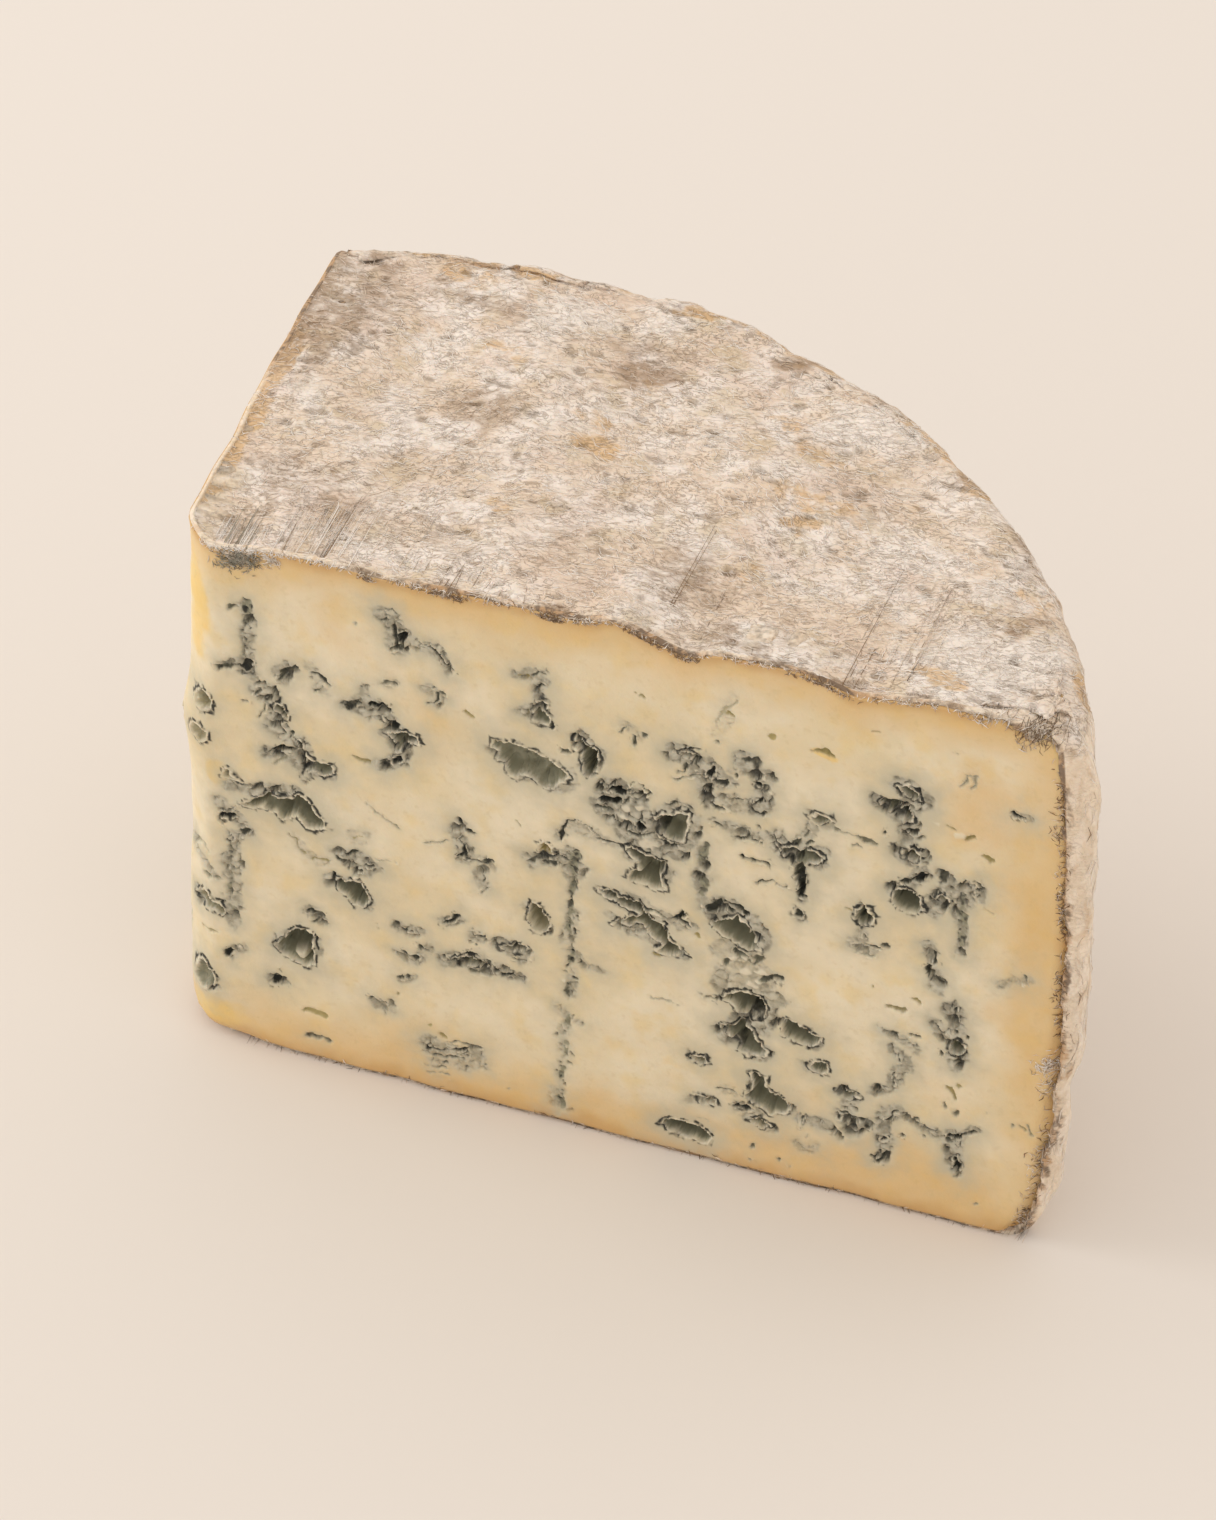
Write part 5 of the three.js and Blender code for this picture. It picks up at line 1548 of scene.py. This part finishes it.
# The fibres on the rind, more where it is white. A batch of fibres is their paths, the directions
# across them, and how brown and how blue they are.
def lyingFibres(dice, rind):
    points = fromPart(readVectors(rind.data))
    corners = readCorners(rind.data)
    brown, white = (readAttribute(rind.data, name)[corners[:, 0]] for name in ("brown", "white"))
    first, second, third = (points[corners[:, i]] for i in range(3))
    across = np.cross(second - first, third - first)
    area = np.linalg.norm(across, axis=1) / 2
    facing = across / (2 * area[:, None] + 1e-12)
    middle = (first + second + third) / 3
    radial = unit(middle[:, :2] - np.array(wheel["axis"]))
    outward = facing[:, 0] * radial[:, 0] + facing[:, 1] * radial[:, 1]
    isTop = (facing[:, 2] > 0.5) & (middle[:, 2] > 86)
    isSide = (outward > 0.35) & ~isTop & (fromAxis(middle) > 92) & (middle[:, 2] > 1)
    tree = treeOf(rind)
    batches = []
    for picked, count, lengths in (
        (isTop, feltLook["topCount"], feltLook["topLength"]),
        (isSide, feltLook["sideCount"], feltLook["sideLength"]),
    ):
        nearCut = 0.8 * (middle[:, 1] < 25) * isSide
        weight = area * picked * (0.7 + 0.9 * white - 0.35 * brown + nearCut)
        chosen = dice.choice(len(weight), size=count, p=weight / weight.sum())
        shares = dice.dirichlet((1, 1, 1), size=count)
        spots = sum(shares[:, i, None] * points[corners[chosen, i]] for i in range(3))
        normals = facing[chosen]
        tilt = dice.normal(size=count)
        if picked is isTop:
            heading = 0.15 + 0.8 * fractal(spots, 15, 2, 161) + 0.5 * tilt
            headings = np.column_stack([np.cos(heading), np.sin(heading), 0 * heading])
        else:
            tangent = np.column_stack([-normals[:, 1], normals[:, 0], 0 * tilt])
            headings = tangent * np.sin(0.35 * tilt)[:, None] + [0, 0, 1]
        headings = unit(headings - normals * (headings * normals).sum(1)[:, None])
        lengths = dice.uniform(*lengths, size=count)
        path, side = fibrePaths(dice, spots, headings, normals, lengths, tree)
        shade = 0.55 * dice.random(count) ** 1.8 + 0.45 * brown[chosen] - 0.2 * white[chosen]
        batches.append((path, side, np.clip(shade, 0, 1), np.zeros(count)))
    return batches


# The fibres of the tufts, which lie in the front cut in any direction.
def tuftFibres(dice, tree):
    places = []
    for along, below, width, height, count, brown, blue in edgeTufts:
        x = along + width * 0.6 * dice.normal(size=count)
        z = topHeight(x, x * 0) - np.maximum(0.1, below + height * 0.6 * dice.normal(size=count))
        places.append((x, z, brown, blue))
    for up, inside, width, height, count, brown, blue in stripTufts:
        z = np.clip(up + height * 0.6 * dice.normal(size=count), 0.3, 88)
        x = stripStart(z) - inside + width * 0.6 * dice.normal(size=count)
        places.append((x, z, brown, blue))
    first, last, high, count, brown = footFringe
    x = dice.uniform(first, last, count)
    places.append((x, 0.1 + np.abs(high * dice.normal(size=count)), brown, 0))
    batches = []
    for x, z, brown, blue in places:
        count = len(x)
        points = np.column_stack([x, dice.uniform(*feltLook["tuftDepth"], count), z])
        headings = unit(dice.normal(size=(count, 3)) * [1, 0.25, 1])
        normals = np.tile([0.0, -1.0, 0.0], (count, 1))
        lengths = dice.uniform(*feltLook["tuftLength"], size=count)
        path, side = fibrePaths(dice, points, headings, normals, lengths, None)
        path = metFromFront(path.reshape(-1, 3), tree).reshape(-1, 3, 3)
        shade = np.clip(brown + 0.35 * dice.normal(size=count), 0, 1)
        batches.append((path, side, shade, float(blue) * dice.random(count) ** 0.5))
    return batches


def makeFelt(material, rind, paste):
    dice = np.random.default_rng(feltLook["seed"])
    batches = lyingFibres(dice, rind)
    print("felt laid")
    batches += tuftFibres(dice, treeOf(rind, paste))
    path, side, shade, blue = (np.concatenate(parts) for parts in zip(*batches))
    count = len(path)
    template, faces = fibreShape()
    size = len(template)
    ring = np.round(template[:, 2]).astype(int) + 1
    lifted = np.cross(unit(path[:, 2] - path[:, 0]), side)
    radius = dice.uniform(*feltLook["thickness"], size=count)[:, None, None]
    points = path[:, ring]
    points = points + side[:, None] * (template[:, 0, None] * radius)
    points = points + lifted[:, None] * (template[:, 1, None] * radius)
    low = [pasteLook["leftmost"], pasteLook["foremost"], feltLook["lowest"]]
    high = [feltLook["rightmost"], feltLook["rearmost"], feltLook["highest"]]
    points = np.clip(points.reshape(-1, 3), low, high)
    joined = [[corner + size * i for corner in face] for i in range(count) for face in faces]
    mesh = bpy.data.meshes.new("cheese_felt")
    mesh.from_pydata(toPart(points).tolist(), [], joined)
    mesh.update()
    attributes = {"shade": np.repeat(shade, size), "blue": np.repeat(blue, size)}
    return addPiece("cheese_felt", mesh, material, attributes)


# A number that runs through a shader. Python's operators on it add Math nodes.
class Flow:
    def __init__(self, maker, socket):
        self.maker = maker
        self.socket = socket

    def join(self, operation, first, second=0.0):
        made = self.maker.node("ShaderNodeMath", {"operation": operation}, {0: first, 1: second})
        return Flow(self.maker, made.outputs[0])

    def __add__(self, other):
        return self.join("ADD", self, other)

    __radd__ = __add__

    def __sub__(self, other):
        return self.join("SUBTRACT", self, other)

    def __rsub__(self, other):
        return self.join("SUBTRACT", other, self)

    def __mul__(self, other):
        return self.join("MULTIPLY", self, other)

    __rmul__ = __mul__

    def __abs__(self):
        return self.join("ABSOLUTE", self)

    def most(self, other):
        return self.join("MAXIMUM", self, other)

    # 0 below the low end and 1 above the high end, smooth between. Either end may be the larger.
    def step(self, low, high):
        if low > high:
            return 1 - self.step(high, low)
        settings = {"interpolation_type": "SMOOTHSTEP", "clamp": True}
        sockets = {"Value": self, "From Min": low, "From Max": high}
        made = self.maker.node("ShaderNodeMapRange", settings, sockets)
        return Flow(self.maker, made.outputs["Result"])


# Makes a material's nodes.
class Finish:
    def __init__(self, name):
        self.material = bpy.data.materials.new(name)
        self.material.use_nodes = True
        self.tree = self.material.node_tree
        self.tree.nodes.clear()
        self.place = self.node("ShaderNodeTexCoord").outputs["Object"]

    def node(self, kind, settings=None, sockets=None):
        made = self.tree.nodes.new(kind)
        for key, value in (settings or {}).items():
            setattr(made, key, value)
        for key, value in (sockets or {}).items():
            socket = made.inputs[key]
            if isinstance(value, Flow):
                value = value.socket
            if isinstance(value, bpy.types.NodeSocket):
                self.tree.links.new(value, socket)
            else:
                socket.default_value = value
        return made

    def attribute(self, name):
        made = self.node("ShaderNodeAttribute", {"attribute_type": "GEOMETRY", "attribute_name": name})
        return Flow(self, made.outputs["Fac"])

    # Object coordinates, stretched so that a pattern is longer along an axis with a small share.
    def stretched(self, shares):
        sockets = {"Vector": self.place, "Scale": shares}
        return self.node("ShaderNodeMapping", None, sockets).outputs["Vector"]

    # Noise whose lumps are about this many millimetres across. A shift gives another such noise.
    def noise(self, size, detail=2, distortion=0, where=None, shift=0):
        vector = where or self.place
        if shift:
            sockets = {0: vector, 1: (shift, shift, shift)}
            vector = self.node("ShaderNodeVectorMath", {"operation": "ADD"}, sockets).outputs[0]
        sockets = {"Vector": vector, "Scale": 1000 / size, "Detail": detail, "Distortion": distortion}
        return Flow(self, self.node("ShaderNodeTexNoise", None, sockets).outputs["Fac"])

    # Two colours, with the second at a share of 1.
    def blend(self, share, first, second):
        made = self.node("ShaderNodeMix", {"data_type": "RGBA"}, {"Factor": share, 6: first, 7: second})
        return made.outputs[2]

    def bump(self, height, distance, strength=1.0, under=None):
        sockets = {"Height": height, "Distance": distance / 1000, "Strength": strength}
        if under is not None:
            sockets["Normal"] = under
        return self.node("ShaderNodeBump", None, sockets).outputs["Normal"]

    # The surface itself, with these values and links.
    def close(self, sockets):
        shader = self.node("ShaderNodeBsdfPrincipled", None, sockets)
        self.node("ShaderNodeOutputMaterial", None, {"Surface": shader.outputs["BSDF"]})
        return self.material


# An sRGB colour as 0 to 255, as the linear colour that a shader takes.
def colour(red, green, blue):
    def linear(value):
        value /= 255
        return value / 12.92 if value <= 0.04045 else ((value + 0.055) / 1.055) ** 2.4
    return (linear(red), linear(green), linear(blue), 1)


def pasteFinish():
    skin = Finish("cheese_paste")
    cream = colour(225, 208, 172)
    ivory = colour(231, 218, 190)
    yellow = colour(229, 204, 148)
    gold = colour(219, 179, 111)
    amber = colour(188, 140, 80)
    edge = skin.attribute("rindEdge") * 30
    near = (edge + (skin.noise(9, 2) - 0.5) * 8).step(13, 1)
    rim = (edge + (skin.noise(4, 2, shift=0.3) - 0.5) * 3).step(4, 0.3)
    base = skin.blend(skin.noise(14, 3).step(0.38, 0.62), cream, ivory)
    base = skin.blend(skin.noise(5, 3, shift=0.5).step(0.48, 0.7) * 0.55, base, yellow)
    warm = (skin.attribute("gold") + (skin.noise(6, 3, shift=0.9) - 0.5) * 0.6).step(0.1, 0.9)
    base = skin.blend(near.most(warm) * 0.7, base, gold)
    sunny = (skin.attribute("yellow") + (skin.noise(2.4, 3, shift=1.9) - 0.5) * 0.8).step(0.25, 0.8)
    base = skin.blend(sunny * 0.75, base, colour(236, 200, 118))
    base = skin.blend(rim * 0.55, base, amber)
    freckle = skin.noise(1.1, 2, shift=0.7).step(0.56, 0.75)
    base = skin.blend(freckle * 0.2, base, colour(200, 176, 128))
    mould = skin.attribute("mould")
    drift = (skin.noise(1.8, 3, shift=1.1) - 0.5) * 0.35
    base = skin.blend((mould + drift).step(-0.05, 0.6) * 0.85, base, colour(193, 186, 163))
    zone = skin.attribute("zone")
    grain = skin.noise(0.8, 3, shift=1.5)
    flecks = skin.noise(1.3, 3, shift=3.5).step(0.35, 0.65)
    ash = skin.blend(flecks, colour(188, 183, 166), colour(132, 127, 112))
    base = skin.blend((zone + (grain - 0.5) * 0.7).step(0.1, 0.9) * 0.85, base, ash)
    base = skin.blend((mould + drift).step(0.6, 1) * 0.95, base, colour(140, 138, 116))
    olive = skin.attribute("olive").step(0.2, 0.9)
    base = skin.blend(olive * 0.85, base, colour(172, 156, 98))
    # The darkest colour: the mould, and the painted shade in the upper parts of the openings.
    dark = skin.attribute("dark") * (1 - olive * 0.4)
    ink = (dark + (grain - 0.5) * 0.45).step(0.2, 0.95)
    base = skin.blend(ink * 0.97, base, colour(38, 39, 34))
    # Where the paste swells it is painted pale: painted highlights on the lips of openings and threads,
    # and the pale curds and crumb tops.
    rise = skin.attribute("rise")
    base = skin.blend(rise.step(0.3, 0.85) * (1 - ink * 0.6) * 0.75, base, colour(226, 217, 194))
    fine = skin.bump(skin.noise(0.5, 3, shift=2.3), 0.08, 0.6)
    coarse = skin.bump(skin.noise(2.2, 3, shift=2.9), 0.2, 0.5, fine)
    return skin.close({
        "Base Color": base,
        "Roughness": 0.62,
        "Specular IOR Level": 0.35,
        "Subsurface Weight": 0.22,
        "Subsurface Radius": (1.0, 0.65, 0.4),
        "Subsurface Scale": 0.001,
        "Normal": coarse,
    })


# What the rind and the felt on it have in common.
downy = {
    "Roughness": 0.85,
    "Specular IOR Level": 0.2,
    "Sheen Weight": 0.1,
    "Sheen Roughness": 0.6,
    "Subsurface Weight": 0.1,
    "Subsurface Radius": (1.0, 0.6, 0.35),
}


def rindFinish():
    skin = Finish("cheese_rind")
    beige = colour(227, 207, 186)
    bloom = colour(241, 230, 220)
    brown = colour(158, 130, 102)
    side = skin.attribute("side")
    flat = skin.stretched((0.55, 1, 1))
    tall = skin.stretched((1, 1, 0.35))
    cloud = skin.noise(9, 4, 0.4)
    base = skin.blend(cloud.step(0.4, 0.62), beige, bloom)
    base = skin.blend(skin.noise(12, 3, 0.4, shift=1.4).step(0.5, 0.7) * 0.5, base, colour(220, 196, 178))
    base = skin.blend(skin.noise(5, 3, 0.5, shift=0.4).step(0.5, 0.7) * 0.5, base, colour(204, 184, 148))
    white = skin.attribute("white") + (skin.noise(1.6, 4, 0.5, shift=4.1) - 0.5) * 1.3
    base = skin.blend(white.step(0.2, 0.7) * 0.8, base, colour(240, 230, 220))
    tan = skin.attribute("tan") + (skin.noise(2, 4, 0.4, shift=4.7) - 0.5) * 1.1
    base = skin.blend(tan.step(0.3, 0.75) * 0.75, base, colour(214, 176, 126))
    earthy = skin.noise(1.4, 4, 0.6, where=flat, shift=5.3)
    earth = skin.attribute("brown") + (earthy - 0.5) * 1.6
    base = skin.blend(earth.step(0.15, 0.95) * 0.75, base, brown)
    speck = skin.noise(0.75, 3, 0.8, where=flat, shift=5.9)
    patch = skin.noise(4, 3, shift=6.1)
    strokes = abs(skin.noise(1.3, 3, 1.5, where=flat, shift=6.7) - 0.5).step(0.03, 0.01)
    marks = speck.step(0.56, 0.66).most(strokes) * (0.35 + patch.step(0.35, 0.6) * 0.65)
    base = skin.blend(marks * (0.5 - side * 0.25), base, colour(122, 95, 66))
    base = skin.blend(skin.attribute("pits") * 0.5, base, colour(120, 98, 74))
    chalk = skin.noise(0.6, 3, 0.8, where=flat, shift=7.3).step(0.56, 0.68)
    base = skin.blend(chalk * 0.35, base, colour(245, 238, 230))
    base = skin.blend(side * 0.7, base, colour(244, 226, 202))
    streak = skin.noise(2.4, 3, 0.6, where=tall, shift=7.9)
    base = skin.blend(side * streak.step(0.52, 0.68) * 0.45, base, colour(212, 176, 136))
    pale = skin.noise(1.9, 3, 0.6, where=tall, shift=8.3).step(0.48, 0.64)
    base = skin.blend(side * pale * 0.6, base, colour(242, 228, 212))
    grit = skin.noise(0.8, 3, shift=2.8)
    clumps = grit * 0.5 + skin.noise(2.6, 3, shift=9.1) * 0.5
    toasted = skin.blend(clumps.step(0.44, 0.56), colour(188, 148, 106), colour(104, 80, 58))
    crust = skin.attribute("crust") * (skin.attribute("brown") + (grit - 0.4) * 0.8)
    bark = skin.attribute("bark") + (grit - 0.5) * 0.8
    base = skin.blend(crust.step(0.1, 0.8).most(bark.step(0.25, 0.8)) * 0.85, base, toasted)
    fine = skin.bump(skin.noise(0.6, 3, 0.5, shift=3.1), 0.15, 0.8)
    felt = skin.bump(marks, -0.12, 0.7, fine)
    return skin.close({**downy, "Base Color": base, "Subsurface Scale": 0.0008, "Normal": felt})


def feltFinish():
    skin = Finish("cheese_felt")
    shade = skin.attribute("shade")
    uneven = (skin.noise(1.2, 2, shift=0.6) - 0.5) * 0.5
    base = skin.blend((shade + uneven).step(0, 0.55), colour(249, 241, 232), colour(229, 211, 191))
    base = skin.blend((shade + uneven).step(0.5, 1), base, colour(134, 106, 78))
    base = skin.blend(skin.attribute("blue") * 0.85, base, colour(118, 122, 108))
    return skin.close({**downy, "Base Color": base, "Subsurface Scale": 0.0006})


paste = makePaste(pasteFinish())
rind = makeRind(rindFinish())
makeFelt(feltFinish(), rind, paste)

# Floor, light and camera.
stage = {
    "floorColour": (230, 223, 216),
    "floorSize": 6,
    "skyStrength": 0.95,
    "keyPower": 8.5,
    "keyPlace": (-1.4, -0.12, 0.68),
    "keySize": 1.2,
    "keyTarget": (0, 0, 0.04),
    "skyColour": (255, 248, 240),
}


def makeFloor():
    shape = bmesh.new()
    bmesh.ops.create_grid(shape, x_segments=2, y_segments=2, size=stage["floorSize"] / 2)
    mesh = bpy.data.meshes.new("floor")
    shape.to_mesh(mesh)
    shape.free()
    finish = Finish("floor")
    mesh.materials.append(finish.close({
        "Base Color": colour(*stage["floorColour"]),
        "Roughness": 0.9,
        "Specular IOR Level": 0.1,
    }))
    floor = bpy.data.objects.new("floor", mesh)
    bpy.context.scene.collection.objects.link(floor)


def makeLight(name, place, power, size):
    light = bpy.data.lights.new(name, "AREA")
    light.energy = power
    light.shape = "DISK"
    light.size = size
    lamp = bpy.data.objects.new(name, light)
    lamp.location = place
    way = Vector(stage["keyTarget"]) - Vector(place)
    lamp.rotation_euler = way.to_track_quat("-Z", "Y").to_euler()
    bpy.context.scene.collection.objects.link(lamp)


def makeWorld():
    world = bpy.data.worlds.new("studio")
    world.use_nodes = True
    backdrop = world.node_tree.nodes["Background"]
    backdrop.inputs["Color"].default_value = colour(*stage["skyColour"])
    backdrop.inputs["Strength"].default_value = stage["skyStrength"]
    bpy.context.scene.world = world
    bpy.context.scene.view_settings.view_transform = "Standard"


view = {
    "place": (0.31441, -0.84389, 0.83573),
    "target": (-0.01615, 0.00530, 0.030),
    "lens": 209.82,
    "sensor": 36,
    "roll": -0.012036,
}


def makeCamera():
    camera = bpy.data.cameras.new("camera")
    camera.lens = view["lens"]
    camera.sensor_width = view["sensor"]
    eye = bpy.data.objects.new("camera", camera)
    eye.location = view["place"]
    way = Vector(view["target"]) - Vector(view["place"])
    eye.rotation_mode = "QUATERNION"
    eye.rotation_quaternion = way.to_track_quat("-Z", "Y") @ Quaternion((0, 0, 1), view["roll"])
    bpy.context.scene.collection.objects.link(eye)
    bpy.context.scene.camera = eye


makeFloor()
makeLight("key", stage["keyPlace"], stage["keyPower"], stage["keySize"])
makeWorld()
makeCamera()
print("floor, light and camera made")
